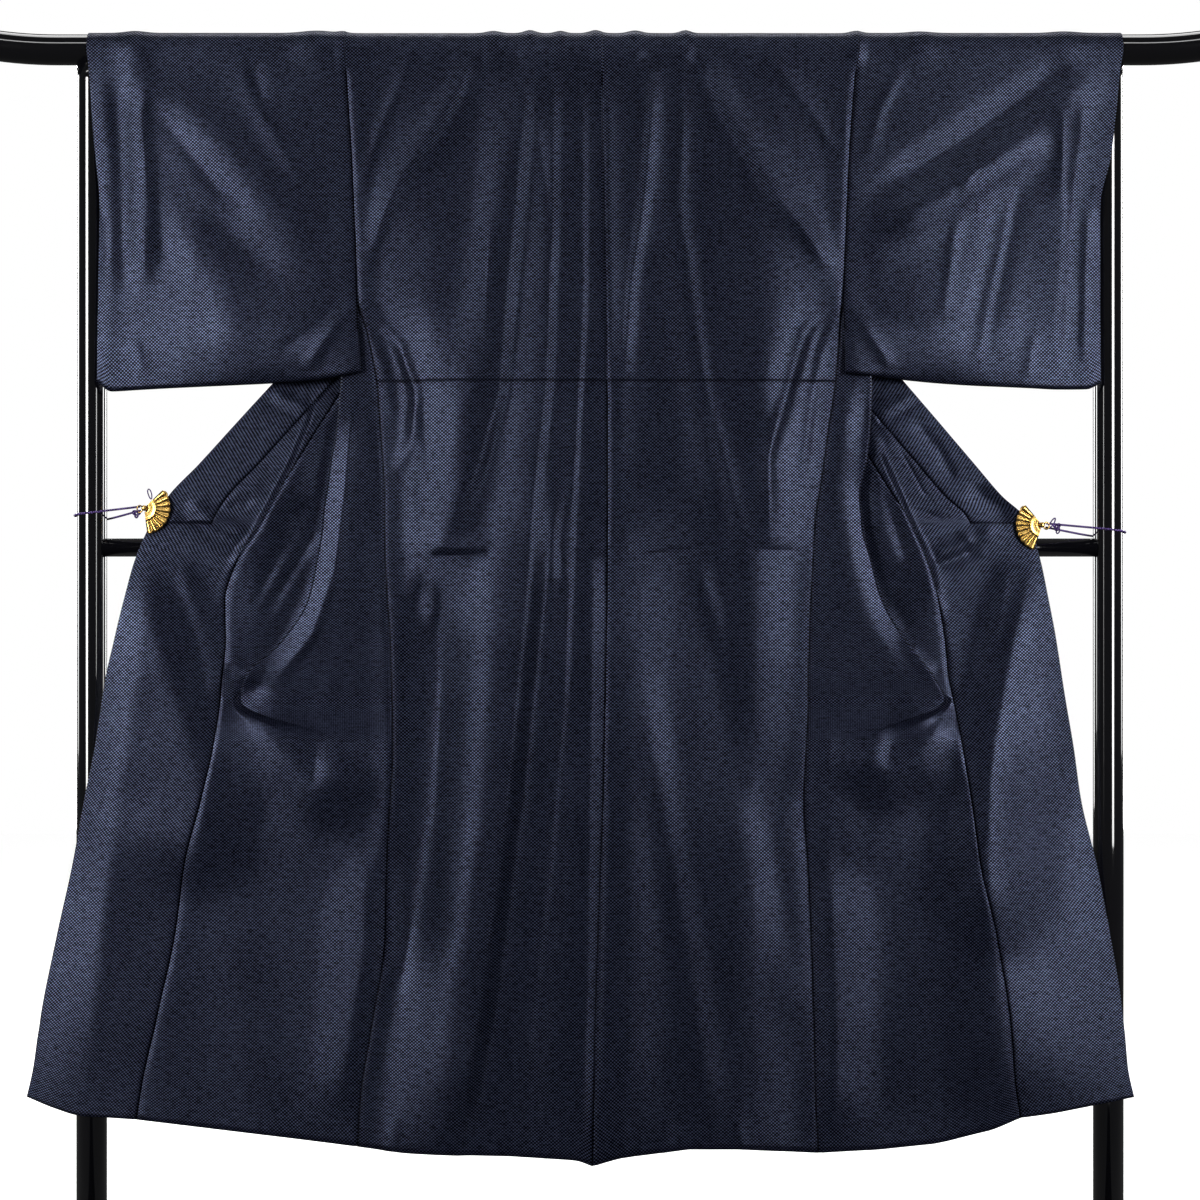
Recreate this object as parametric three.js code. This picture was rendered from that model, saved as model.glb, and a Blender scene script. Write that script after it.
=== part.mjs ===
import * as THREE from 'three';

// Men's kimono hung over a lacquered stand. Millimetres, Z up, the kimono's back faces -Y.

// ---- driving sizes -------------------------------------------------------------------
const CLOTH_WALL = 1.6;
const SEAM_GAP = 0.3;
const HALF_GAP = SEAM_GAP / 2;
const FOLD_RADIUS = 2.5;
const BODY_COLUMNS = 14;
const FREE_COLUMNS = 8;
const CROWDING = { bar: 0.66, shoulder: 0.8, neck: 0.975, from: 1580 };
const OKUMI_COLUMNS = 4;
const COLLAR_COLUMNS = 6;
const SLEEVE_COLUMNS = 10;

const BAR = { radius: 20, height: 1640, halfLength: 890, straightHalf: 712, tipRise: 26, sides: 18 };
const BAR_TIP_STEPS = 10;
const UPRIGHT = { offset: 669, halfWidth: 20, halfDepth: 18, sides: 20 };
const RAIL = { radius: 12, height: 985, sides: 16 };
const FOOT = { length: 440, height: 34, width: 50, corner: 14 };
const SHOULDER_RADIUS = 21.5;
const COLLAR_SEAM_RADIUS = 22.3;
const COLLAR_BEND_RADIUS = 23.1;
const SHOULDER_STEP = 22.5;

const COLORS = { cloth: 0x1c2235, lacquer: 0x0b0b0c, gold: 0xc9a24a, cord: 0x4a2a6a };

// Distances from the centre line at each height, one table per side.
const LINE_COLUMNS = ['z', 'side', 'ridge', 'roll', 'seam', 'edge'];
const LEFT_LINES = [
  [1611, 332, 0, 0, 78, 49],
  [1553, 328, 0, 0, 74, 101],
  [1496, 324, 0, 72, 79, 156],
  [1432, 321, 0, 94, 138, 214],
  [1371, 318, 0, 120, 192, 270],
  [1306, 316, 316, 148, 252, 330],
  [1264, 304, 330, 179, 292, 370],
  [1195, 291, 338, 218, 335, 434],
  [1143, 287, 342, 240, 368, 481],
  [1093, 283, 351, 266, 398, 526],
  [1054, 281, 356, 285, 422, 563],
  [1020, 281, 361, 300, 442, 585],
  [971, 280, 368, 322, 472, 607],
  [916, 277, 380, 344, 490, 621],
  [860, 273, 416, 382, 489, 634],
  [816, 272, 460, 428, 493, 644],
  [786, 271, 468, 478, 495, 649],
  [724, 270, 0, 0, 504, 659],
  [656, 274, 0, 0, 519, 673],
  [567, 279, 0, 0, 542, 690],
  [477, 281, 0, 0, 555, 710],
  [357, 299, 0, 0, 581, 733],
  [266, 313, 0, 0, 597, 741],
];
const RIGHT_LINES = [
  [1611, 334, 0, 0, 83, 52],
  [1553, 329, 0, 0, 76, 101],
  [1496, 325, 0, 72, 79, 151],
  [1432, 322, 0, 91, 129, 204],
  [1371, 319, 0, 117, 182, 256],
  [1306, 316, 316, 142, 237, 311],
  [1264, 313, 335, 168, 265, 347],
  [1195, 307, 354, 208, 302, 405],
  [1143, 299, 352, 226, 330, 449],
  [1093, 292, 346, 236, 358, 491],
  [1054, 286, 338, 244, 382, 524],
  [1020, 281, 341, 260, 404, 559],
  [971, 278, 352, 283, 425, 575],
  [916, 275, 367, 307, 441, 585],
  [860, 273, 399, 345, 450, 595],
  [816, 272, 433, 381, 454, 602],
  [786, 272, 447, 455, 460, 607],
  [724, 269, 0, 0, 471, 618],
  [656, 266, 0, 0, 482, 628],
  [567, 272, 0, 0, 494, 650],
  [477, 276, 0, 0, 515, 667],
  [357, 280, 0, 0, 534, 685],
  [266, 282, 0, 0, 540, 690],
];

// Depth (Y) of each line of the cloth by height.
const DEPTH_COLUMNS = ['z', 'far', 'near', 'ridge', 'middle', 'seam', 'edge'];
const DEPTHS = [
  [1640, 21.5, -21.5, 0, -21.5, 21.5, 24],
  [1611, 20, -22.5, 0, -24, 22, 27],
  [1553, 14, -25, 0, -28, 17, 24],
  [1496, 7, -28, 0, -32, 11, 18],
  [1432, -3, -31, 0, -37, 5, 11],
  [1371, -16, -34, 0, -42, -2, 4],
  [1306, -33, -37, -33, -46, -8, -1],
  [1264, -34, -34, -34, -49, -12, -5],
  [1195, -34, -34, -35, -53, -16, -12],
  [1143, -38, -38, -42, -55, -19, -16],
  [1093, -41, -41, -46, -56, -21, -19],
  [1054, -42, -42, -47, -57, -23, -22],
  [1020, -43, -43, -48, -57, -23, -22.5],
  [971, -44, -44, -49, -57, -23.5, -23],
  [916, -44, -44, -49, -57, -24, -23.5],
  [860, -44, -44, -49, -57, -26, -24],
  [816, -44, -44, -49, -56, -28, -25],
  [786, -43, -43, -46, -56, -28, -25],
  [724, -42, -42, -42, -55, -29, -25.5],
  [567, -37, -37, -37, -50, -29, -26.5],
  [357, -34, -34, -34, -43, -29, -27],
  [170, -33, -33, -33, -41, -29, -27],
];

// Centre back seam and hem line.
const CENTRE_COLUMNS = ['z', 'x'];
const CENTRE_SEAM = [
  [1640, 3],
  [1176, 10],
  [916, 10],
  [656, 5],
  [396, -4],
  [170, -10],
];
const HEM_COLUMNS = ['x', 'z'];
const HEM_LINE = [
  [-756, 270],
  [-690, 243],
  [-607, 238],
  [-481, 223],
  [-322, 204],
  [-260, 196],
  [-117, 192],
  [-33, 187],
  [-10, 179],
  [26, 190],
  [117, 201],
  [182, 201],
  [283, 195],
  [364, 199],
  [442, 207],
  [520, 227],
  [543, 240],
  [591, 246],
  [650, 257],
  [705, 268],
];
const HEM_SPREAD = 8;
const HEM_LEVEL = 200;
const HEM_REACH = 357;

// Collar where it rounds the neck: sideways place of its seam and of its free edge.
const NECK_COLUMNS = ['angle', 'seamX', 'edgeX', 'edgeZ'];
const NECK_CURVE = [
  [0, 3, 2, 1617],
  [22.5, 40, 20, 1612],
  [45, 66, 35, 1605],
  [67.5, 76, 43, 1598],
  [90, 80, 46, 1592],
];
const COLLAR_FIRST_EDGE_Z = 1580;
const COLLAR_TURNED_Z = 1480;
const COLLAR_TURN = { x: 56, y: 22, edgeY: 29, drop: 8 };
const COLLAR_WIDTH_ACROSS = { left: 78, right: 75 };
const COLLAR_END = 1020;
const OKUMI_TOP = { left: 1264, right: 1306 };
const OKUMI_TIP_WIDTH = 2;
const COLLAR_END_STEP = 2;

// Folds: a crease runs from one end to the other; positive height comes forward (-Y).
const FOLD_COLUMNS = ['fromX', 'fromZ', 'toX', 'toZ', 'width', 'height'];
const BACK_FOLDS = [
  [-166, 1603, -300, 1400, 20, 6],
  [-99, 1603, -198, 1052, 34, 9],
  [-81, 1553, -169, 916, 24, -8],
  [16, 1634, 23, 1046, 18, 6],
  [72, 1599, 52, 1397, 18, 6],
  [130, 1618, 310, 1330, 24, 9],
  [109, 1488, 135, 1197, 24, -7],
  [135, 1197, 187, 760, 24, -7],
  [187, 760, 250, 448, 24, -7],
  [156, 1150, 215, 526, 24, 5],
  [-135, 968, -208, 230, 36, 10],
  [-52, 760, -104, 200, 26, -8],
  [42, 812, 39, 220, 28, 8],
  [-300, 1290, -247, 1176, 20, -5],
  [300, 1290, 240, 1176, 20, -5],
];
const LEFT_FRONT_FOLDS = [
  [-495, 735, -446, 616, 28, 9],
  [-446, 616, -368, 577, 30, 12],
  [-368, 577, -300, 665, 28, 8],
  [-410, 740, -350, 690, 30, 8],
  [-588, 968, -499, 698, 26, -5],
  [-624, 864, -662, 396, 30, 4],
  [-430, 500, -400, 230, 40, -5],
];
const RIGHT_FRONT_FOLDS = [
  [290, 740, 312, 604, 26, 8],
  [312, 604, 372, 591, 30, 11],
  [372, 591, 437, 760, 28, 9],
  [350, 740, 400, 690, 30, 8],
  [530, 927, 488, 812, 26, -5],
  [488, 812, 420, 636, 28, -6],
  [562, 927, 603, 656, 26, 4],
  [395, 552, 354, 240, 34, -5],
];
const LEFT_SLEEVE_FOLDS = [
  [-585, 1618, -400, 1400, 26, 6],
  [-610, 1570, -420, 1330, 24, -5],
  [-602, 1560, -602, 1345, 16, 3],
];
const RIGHT_SLEEVE_FOLDS = [
  [637, 1618, 380, 1449, 26, -6],
  [598, 1527, 370, 1384, 26, 6],
  [607, 1580, 600, 1440, 16, 3],
  [546, 1475, 494, 1260, 22, -4],
];
const FOLD_END_TAPER = 0.18;
const FOLD_END_STRENGTH = 0.55;
const BACK_BULGE_SHARE = 0.35;
const FRONT_FADE = 30;
const BAR_FADE = { start: 1630, length: 110 };
const EDGE_FADE = 0.14;

// Sleeve edges by height: near and far cloth.
const SLEEVE_COLUMN_NAMES = [
  'z', 'inner', 'nearOuter', 'farOuter', 'nearOuterY', 'farOuterY', 'farMiddleY',
];
const LEFT_SLEEVE = [
  [1640, 334, 672, 671, -21.5, 21.5, 21.5],
  [1611, 332, 669, 663, -22.2, 20.5, 20],
  [1553, 328, 665, 645, -23, 14, 16],
  [1496, 324, 660, 644, -24, 0, 11],
  [1432, 321, 654, 645, -26, -20.5, 5],
  [1371, 318, 655, 646, -27, -21, 0],
  [1306, 316, 656, 646, -28, -21.5, -7],
  [1264, 314, 657, 647, -28, -22, -12],
];
const RIGHT_SLEEVE = [
  [1640, 338, 685, 683, -21.5, 21.5, 21.5],
  [1611, 334, 681, 668, -22.2, 20.5, 20],
  [1553, 329, 675, 645, -23, 14, 16],
  [1496, 325, 668, 643, -24, 0, 11],
  [1432, 322, 654, 643, -26, -20.5, 5],
  [1371, 319, 654, 644, -27, -21, 0],
  [1306, 316, 654, 644, -28, -21.5, -7],
  [1264, 317, 654, 644, -28, -22, -12],
];
const SLEEVE_BOTTOM_COLUMNS = ['x', 'z'];
const LEFT_SLEEVE_BOTTOM = [
  [312, 1215],
  [351, 1206],
  [429, 1201],
  [560, 1195],
  [640, 1191],
  [658, 1205],
];
const RIGHT_SLEEVE_BOTTOM = [
  [318, 1214],
  [397, 1205],
  [468, 1199],
  [631, 1192],
  [654, 1202],
];
const SLEEVE_BOTTOM_X = { left: [311, 657], right: [319, 654] };
const SLEEVE_EDGE_SHARE = 0.006;
const SLEEVE_MIDDLE_SHARE = 0.4;
const FAR_FOLD_SHARE = 0.4;
const SLEEVE_NEAR_BULGE = 6;
const SLEEVE_INNER_DROP = -45;
const SLEEVE_ARMHOLE_DEPTH = -38.5;
const SLEEVE_HALF_GAP = 2.2;
const SLEEVE_BOTTOM_DEPTHS = { inner: -45, middle: -25, outer: -28 };
const SLEEVE_BOTTOM_HALF = 3;
const SLEEVE_TURN_DROP = 2.5;
const ARMHOLE_END = 1306;
const ARMHOLE_TURN = { inset: 1.3, gap: 1.3, depth: 3 };
const CUFF_END = 1432;

// Fan clips and their cords.
const CLIP = { inner: 5, outer: 33, pleats: 7, pleatDepth: 1.2, wall: 1.2, nearY: -28.5, farY: -17 };
const CLIP_BARREL = { radius: 4, front: -31, back: -14.5 };
const LEFT_CLIP = { x: -595, z: 1036, from: -83, to: 39 };
const RIGHT_CLIP = { x: 577, z: 1014, from: 135, to: 254 };
const CORD = { radius: 1.4, sides: 8, steps: 36, clearance: 1 };

// ---- small helpers -------------------------------------------------------------------
function readTable(columns, rows) {
  return rows.map((row) => Object.fromEntries(columns.map((name, i) => [name, row[i]])));
}

function lerp(a, b, t) {
  return a + (b - a) * t;
}

function clamp(value, low, high) {
  return Math.min(high, Math.max(low, value));
}

function smooth(t) {
  const s = clamp(t, 0, 1);
  return s * s * (3 - 2 * s);
}

// Value of one column at a key that may lie between two rows.
function lookUp(table, keyName, key, name) {
  const rising = table[0][keyName] < table[table.length - 1][keyName];
  const rows = rising ? table : [...table].reverse();
  if (key <= rows[0][keyName]) return rows[0][name];
  for (let i = 1; i < rows.length; i += 1) {
    if (key > rows[i][keyName]) continue;
    const span = rows[i][keyName] - rows[i - 1][keyName];
    return lerp(rows[i - 1][name], rows[i][name], (key - rows[i - 1][keyName]) / span);
  }
  return rows[rows.length - 1][name];
}

const depthTable = readTable(DEPTH_COLUMNS, DEPTHS);
const centreTable = readTable(CENTRE_COLUMNS, CENTRE_SEAM);
const hemTable = readTable(HEM_COLUMNS, HEM_LINE);
const neckTable = readTable(NECK_COLUMNS, NECK_CURVE);

const depthAt = (name, z) => lookUp(depthTable, 'z', z, name);
const centreAt = (z) => lookUp(centreTable, 'z', z, 'x');
const hemAt = (x) => lookUp(hemTable, 'x', x, 'z');

function foldTable(rows) {
  return readTable(FOLD_COLUMNS, rows);
}

function oneFold(fold, x, z) {
  const dx = fold.toX - fold.fromX;
  const dz = fold.toZ - fold.fromZ;
  const raw = ((x - fold.fromX) * dx + (z - fold.fromZ) * dz) / (dx * dx + dz * dz);
  const t = clamp(raw, 0, 1);
  const away = Math.hypot(x - fold.fromX - dx * t, z - fold.fromZ - dz * t) / fold.width;
  const taper = lerp(FOLD_END_STRENGTH, 1, smooth(Math.min(t, 1 - t) / FOLD_END_TAPER));
  return fold.height * taper * Math.exp(-away * away);
}

// Forward push of the cloth by its folds; none where it bends over the bar.
function foldPush(folds, x, z) {
  const total = folds.reduce((sum, fold) => sum + oneFold(fold, x, z), 0);
  return total * smooth((BAR_FADE.start - z) / BAR_FADE.length);
}

// ---- closed solids from cells --------------------------------------------------------
const CELL_FACES = [
  [0, 1, 2, 3],
  [7, 6, 5, 4],
  [1, 0, 4, 5],
  [2, 1, 5, 6],
  [3, 2, 6, 7],
  [0, 3, 7, 4],
];

// Outer faces of a block of eight-cornered cells; faces shared by two cells drop out.
function boundaryFaces(cells) {
  const faces = new Map();
  for (const cell of cells) {
    for (const corners of CELL_FACES) {
      const ids = corners.map((c) => cell[c]).filter((id, i, all) => all.indexOf(id) === i);
      if (ids.length < 3) continue;
      const key = [...ids].sort((a, b) => a - b).join(',');
      if (faces.has(key)) faces.delete(key);
      else faces.set(key, ids);
    }
  }
  return [...faces.values()];
}

function signedVolume(points, triangles) {
  let total = 0;
  for (const [a, b, c] of triangles) {
    total += points[a].dot(new THREE.Vector3().crossVectors(points[b], points[c]));
  }
  return total / 6;
}

function splitFace(f) {
  return f.length === 4 ? [[f[0], f[1], f[2]], [f[0], f[2], f[3]]] : [f];
}

function geometryFrom(points, faces) {
  const triangles = faces.flatMap(splitFace);
  if (signedVolume(points, triangles) < 0) triangles.forEach((t) => t.reverse());
  const geometry = new THREE.BufferGeometry();
  const numbers = points.flatMap((p) => [p.x, p.y, p.z]);
  geometry.setAttribute('position', new THREE.Float32BufferAttribute(numbers, 3));
  geometry.setIndex(triangles.flat());
  geometry.computeVertexNormals();
  return geometry;
}

function gridNormal(grid, r, c) {
  const row = grid[r];
  const left = row[Math.max(c - 1, 0)];
  const right = row[Math.min(c + 1, row.length - 1)];
  const above = grid[Math.min(r + 1, grid.length - 1)][c];
  const below = grid[Math.max(r - 1, 0)][c];
  const across = new THREE.Vector3().subVectors(right, left);
  const up = new THREE.Vector3().subVectors(above, below);
  return new THREE.Vector3().crossVectors(across, up).normalize();
}

// Gives a grid of middle points a wall: a closed sheet solid.
function sheetSolid(grid, wall = CLOTH_WALL) {
  const columns = grid[0].length;
  const points = [];
  const layer = grid.length * columns;
  for (const side of [0.5, -0.5]) {
    grid.forEach((row, r) => row.forEach((point, c) => {
      points.push(point.clone().addScaledVector(gridNormal(grid, r, c), wall * side));
    }));
  }
  const id = (r, c) => r * columns + c;
  const cells = [];
  for (let r = 0; r + 1 < grid.length; r += 1) {
    for (let c = 0; c + 1 < columns; c += 1) {
      const face = [id(r, c), id(r, c + 1), id(r + 1, c + 1), id(r + 1, c)];
      cells.push([...face, ...face.map((v) => v + layer)]);
    }
  }
  return geometryFrom(points, boundaryFaces(cells));
}

// ---- the kimono's body ---------------------------------------------------------------
function makeSide(name) {
  const left = name === 'left';
  const sign = left ? -1 : 1;
  const toSleeve = (rows) => readTable(SLEEVE_COLUMN_NAMES, rows);
  return {
    name,
    sign,
    lines: readTable(LINE_COLUMNS, left ? LEFT_LINES : RIGHT_LINES),
    frontFolds: foldTable(left ? LEFT_FRONT_FOLDS : RIGHT_FRONT_FOLDS),
    sleeveFolds: foldTable(left ? LEFT_SLEEVE_FOLDS : RIGHT_SLEEVE_FOLDS),
    sleeve: toSleeve(left ? LEFT_SLEEVE : RIGHT_SLEEVE),
    sleeveBottom: readTable(SLEEVE_BOTTOM_COLUMNS, left ? LEFT_SLEEVE_BOTTOM : RIGHT_SLEEVE_BOTTOM),
    bottomX: SLEEVE_BOTTOM_X[name],
    okumiTop: OKUMI_TOP[name],
    collarAcross: COLLAR_WIDTH_ACROSS[name],
  };
}

const backFolds = foldTable(BACK_FOLDS);

// Height of a point near the hem: the lowest rows are squeezed to end on the hem line.
function settled(x, z) {
  if (z >= HEM_REACH) return z;
  const hem = hemAt(x);
  return hem + ((z - HEM_LEVEL) * (HEM_REACH - hem)) / (HEM_REACH - HEM_LEVEL);
}

function backPoint(side, sideX, z, t) {
  const centre = centreAt(z) + side.sign * HALF_GAP;
  const x = lerp(centre, side.sign * (sideX - HALF_GAP), t);
  const edge = depthAt('near', z);
  const bulge = smooth((1 - t) / BACK_BULGE_SHARE);
  const push = foldPush(backFolds, x, z) * smooth((1 - t) / EDGE_FADE);
  const y = lerp(edge, depthAt('middle', z), bulge) - push;
  return new THREE.Vector3(x, y, settled(x, z));
}

function backRow(side, line, atHem) {
  const z = atHem ? HEM_LEVEL : line.z;
  const sideX = line.side + (atHem ? HEM_SPREAD / 2 : 0);
  const steps = [...Array(BODY_COLUMNS + 1).keys()];
  return steps.map((i) => backPoint(side, sideX, z, i / BODY_COLUMNS));
}

// Rows where the cloth bends over the bar, from the near side to the far side.
function barRow(side, angle) {
  const sideX = lookUp(side.sleeve, 'z', BAR.height, 'inner') - HALF_GAP;
  const neck = angle > 0 ? lookUp(neckTable, 'angle', angle, 'seamX') : 0;
  const start = neck > 0 ? side.sign * (neck + HALF_GAP) : centreAt(BAR.height) + side.sign * HALF_GAP;
  const turn = THREE.MathUtils.degToRad(angle);
  const spread = lerp(FREE_COLUMNS / BODY_COLUMNS, CROWDING.bar, smooth(angle / 90));
  return [...Array(BODY_COLUMNS + 1).keys()].map((i) => {
    const t = angle > 0 ? crowd(BODY_COLUMNS - i, spread) : 1 - i / BODY_COLUMNS;
    const x = lerp(side.sign * sideX, start, t);
    const z = BAR.height + SHOULDER_RADIUS * Math.cos(turn);
    return new THREE.Vector3(x, SHOULDER_RADIUS * Math.sin(turn), z);
  });
}

// Share of the way from side to neck for a front column; the last columns crowd together.
function crowd(index, share) {
  if (index <= FREE_COLUMNS) return (index / FREE_COLUMNS) * share;
  return lerp(share, 1, (index - FREE_COLUMNS) / (BODY_COLUMNS - FREE_COLUMNS));
}

function spreadAlong(from, to, count) {
  return [...Array(count).keys()].map((i) => {
    const t = i / count;
    return { m: lerp(from.m, to.m, t), y: lerp(from.y, to.y, t) };
  });
}

function turnAt(place, y, overlap, outward) {
  const side = Math.max(-FOLD_RADIUS, Math.min(FOLD_RADIUS, overlap / 2));
  const first = { m: place - outward * FOLD_RADIUS, y };
  const middle = { m: place, y: y + FOLD_RADIUS };
  const last = { m: place - outward * side, y: y + 2 * FOLD_RADIUS };
  return [first, middle, last];
}

function rollTurn(line, depth, overlap) {
  const side = Math.max(-FOLD_RADIUS, Math.min(FOLD_RADIUS, overlap / 2));
  return [
    { m: line.roll + side, y: depth - 2 * FOLD_RADIUS },
    { m: line.roll, y: depth - FOLD_RADIUS },
    { m: line.roll + FOLD_RADIUS, y: depth },
  ];
}

// Where the front starts: under the armhole it meets the back at the side seam.
function frontStart(line) {
  const y = depthAt('far', line.z);
  return { m: line.side + (line.z < ARMHOLE_END ? HALF_GAP : -HALF_GAP), y };
}

function ridgedPath(line, start, end) {
  const overlap = line.ridge - line.roll;
  const ridge = turnAt(line.ridge, depthAt('ridge', line.z), overlap, 1);
  const roll = rollTurn(line, depthAt('seam', line.z), overlap);
  return [
    ...spreadAlong(start, ridge[0], 4), ridge[0], ridge[1],
    ...spreadAlong(ridge[2], roll[0], 2), roll[0], roll[1],
    ...spreadAlong(roll[2], end, 4), end,
  ];
}

// At the armhole's end the front leaves the side seam edge-on, then turns inward.
function armholePath(line, end) {
  const start = { m: line.side - ARMHOLE_TURN.inset, y: depthAt('near', line.z) + ARMHOLE_TURN.gap };
  const corner = { m: start.m - 0.5, y: start.y + ARMHOLE_TURN.depth };
  const roll = rollTurn(line, depthAt('seam', line.z), 2 * FOLD_RADIUS);
  return [...spreadAlong(start, corner, 6), ...spreadAlong(corner, roll[0], 2), roll[0], roll[1],
    ...spreadAlong(roll[2], end, 4), end];
}

function rolledPath(line, start, end) {
  const roll = rollTurn(line, depthAt('seam', line.z), 2 * FOLD_RADIUS);
  return [...spreadAlong(start, roll[0], 8), roll[0], roll[1], ...spreadAlong(roll[2], end, 4), end];
}

function shoulderPath(line, start) {
  const end = { m: line.seam + HALF_GAP, y: depthAt('seam', line.z) };
  const share = line.z > CROWDING.from ? CROWDING.shoulder : CROWDING.neck;
  const steps = [...Array(BODY_COLUMNS + 1).keys()].map((i) => crowd(i, share));
  return steps.map((t) => ({ m: lerp(start.m, end.m, t), y: lerp(start.y, end.y, t) }));
}

// One level of the front from the side seam to its front seam: distance from centre, depth.
function frontPath(line) {
  const start = frontStart(line);
  const end = { m: line.seam - HALF_GAP, y: depthAt('seam', line.z) };
  if (line.z === ARMHOLE_END) return armholePath(line, end);
  if (line.ridge > 0) return ridgedPath(line, start, end);
  if (line.roll > 0) return rolledPath(line, start, end);
  if (line.z > COLLAR_END) return shoulderPath(line, start);
  return [...spreadAlong(start, end, BODY_COLUMNS), end];
}

function frontFoldFade(line, m) {
  return smooth(Math.abs(m - line.side) / FRONT_FADE);
}

function placeFront(side, line, place) {
  const x = side.sign * place.m;
  const z = settled(x, line.z);
  const fade = frontFoldFade(line, place.m) * (line.z > COLLAR_END ? 0 : 1);
  const push = foldPush(side.frontFolds, x, z) * fade;
  return new THREE.Vector3(x, place.y - push, z);
}

function hemRowOf(line) {
  return {
    ...line,
    z: HEM_LEVEL,
    side: line.side + HEM_SPREAD / 2,
    seam: line.seam + HEM_SPREAD,
    edge: line.edge + HEM_SPREAD,
  };
}

function withCollarEnd(lines) {
  const rows = [];
  for (const line of lines) {
    rows.push(line);
    if (line.z === COLLAR_END) rows.push({ ...line, z: line.z - COLLAR_END_STEP, belowCollar: true });
  }
  return rows;
}

function bodyGrid(side) {
  const lines = withCollarEnd(side.lines);
  const last = lines[lines.length - 1];
  const back = lines.map((line) => backRow(side, line, false)).reverse();
  const angles = [...Array(9).keys()].map((i) => -90 + i * SHOULDER_STEP);
  const over = angles.map((angle) => barRow(side, angle));
  const front = lines.map((line) => frontPath(line).map((place) => placeFront(side, line, place)));
  const hemLine = hemRowOf(last);
  const frontHem = frontPath(hemLine).map((place) => placeFront(side, hemLine, place));
  const backFirst = [backRow(side, last, true), ...back];
  return [...backFirst, ...over, ...front.map((row) => [...row].reverse()), [...frontHem].reverse()];
}

// ---- okumi and collar ----------------------------------------------------------------
function okumiOuter(side, line) {
  if (line.z < COLLAR_END) return line.edge;
  return Math.max(line.edge - side.collarAcross - HALF_GAP, line.seam + OKUMI_TIP_WIDTH);
}

function okumiRow(side, line) {
  const outer = okumiOuter(side, line);
  const start = { m: line.seam + HALF_GAP, y: depthAt('seam', line.z) };
  const share = (outer - line.seam) / (line.edge - line.seam);
  const end = { m: outer, y: lerp(start.y, depthAt('edge', line.z), share) };
  const row = [...spreadAlong(start, end, OKUMI_COLUMNS), end];
  return row.map((place) => placeFront(side, line, place));
}

function okumiGrid(side) {
  const lines = withCollarEnd(side.lines).filter((line) => line.z <= side.okumiTop);
  const hemLine = hemRowOf(lines[lines.length - 1]);
  return [...lines, hemLine].map((line) => okumiRow(side, line));
}

function collarSeamAt(side, line) {
  if (line.z > side.okumiTop) return line.seam + HALF_GAP;
  return Math.max(line.edge - side.collarAcross, line.seam + OKUMI_TIP_WIDTH) + HALF_GAP;
}

function collarFlatRow(side, line) {
  const seam = collarSeamAt(side, line);
  const seamDepth = depthAt('seam', line.z);
  const share = (seam - line.seam) / (line.edge - line.seam);
  const lift = line.z > COLLAR_TURNED_Z ? SEAM_GAP : 0;
  const start = { m: seam, y: lerp(seamDepth, depthAt('edge', line.z), share) + lift };
  const end = { m: line.edge, y: depthAt('edge', line.z) };
  const row = [...spreadAlong(start, end, COLLAR_COLUMNS), end];
  return row.map((place) => new THREE.Vector3(side.sign * place.m, place.y, line.z));
}

// The collar turns over just below the neck: the row there doubles back on itself.
function collarTurnRow(side, line) {
  const seamDepth = depthAt('seam', line.z) + SEAM_GAP;
  const seam = new THREE.Vector3(side.sign * (line.seam - HALF_GAP), seamDepth, line.z);
  const turn = new THREE.Vector3(side.sign * COLLAR_TURN.x, COLLAR_TURN.y, line.z);
  const edge = new THREE.Vector3(side.sign * line.edge, COLLAR_TURN.edgeY, line.z - COLLAR_TURN.drop);
  const back = turn.clone().lerp(edge, 0.3);
  back.y += FOLD_RADIUS;
  const half = [seam, seam.clone().lerp(turn, 1 / 3), seam.clone().lerp(turn, 2 / 3), turn];
  return [...half, back, back.clone().lerp(edge, 0.5), edge];
}

function collarSteps(make) {
  return [...Array(COLLAR_COLUMNS + 1).keys()].map((i) => make(i / COLLAR_COLUMNS));
}

function collarHangingRow(side, angle, seamX, edgeX, edgeZ) {
  const turn = THREE.MathUtils.degToRad(angle) + 2 * SEAM_GAP / SHOULDER_RADIUS;
  const seam = new THREE.Vector3(
    side.sign * seamX,
    COLLAR_SEAM_RADIUS * Math.sin(turn),
    BAR.height + COLLAR_SEAM_RADIUS * Math.cos(turn),
  );
  const edge = new THREE.Vector3(side.sign * edgeX, 26, edgeZ);
  return collarSteps((t) => collarHangPoint(seam, edge, turn, t));
}

// Follows the bar's far quarter round, then hangs straight.
function collarHangPoint(seam, edge, turn, t) {
  const arc = (Math.PI / 2 - turn) * SHOULDER_RADIUS;
  const drop = BAR.height - edge.z;
  const walked = (arc + drop) * t;
  const x = lerp(seam.x, edge.x, t);
  if (walked < arc) {
    const angle = turn + walked / SHOULDER_RADIUS;
    const radius = lerp(COLLAR_SEAM_RADIUS, COLLAR_BEND_RADIUS, Math.min(1, t * COLLAR_COLUMNS));
    return new THREE.Vector3(x, radius * Math.sin(angle), BAR.height + radius * Math.cos(angle));
  }
  const share = (walked - arc) / drop;
  return new THREE.Vector3(x, lerp(COLLAR_BEND_RADIUS, edge.y, share), lerp(BAR.height, edge.z, share));
}

function collarHalf(side) {
  const lines = side.lines.filter((line) => line.z >= COLLAR_END);
  const rows = [];
  neckTable.filter((row) => row.angle > 0).forEach((row) => {
    rows.push(collarHangingRow(side, row.angle, row.seamX - HALF_GAP, row.edgeX, row.edgeZ));
  });
  lines.forEach((line, i) => {
    if (i === 0) rows.push(collarShoulderRow(side, line));
    else if (i === 1) rows.push(collarTurnRow(side, line));
    else rows.push(collarFlatRow(side, line));
  });
  return rows;
}

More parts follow.
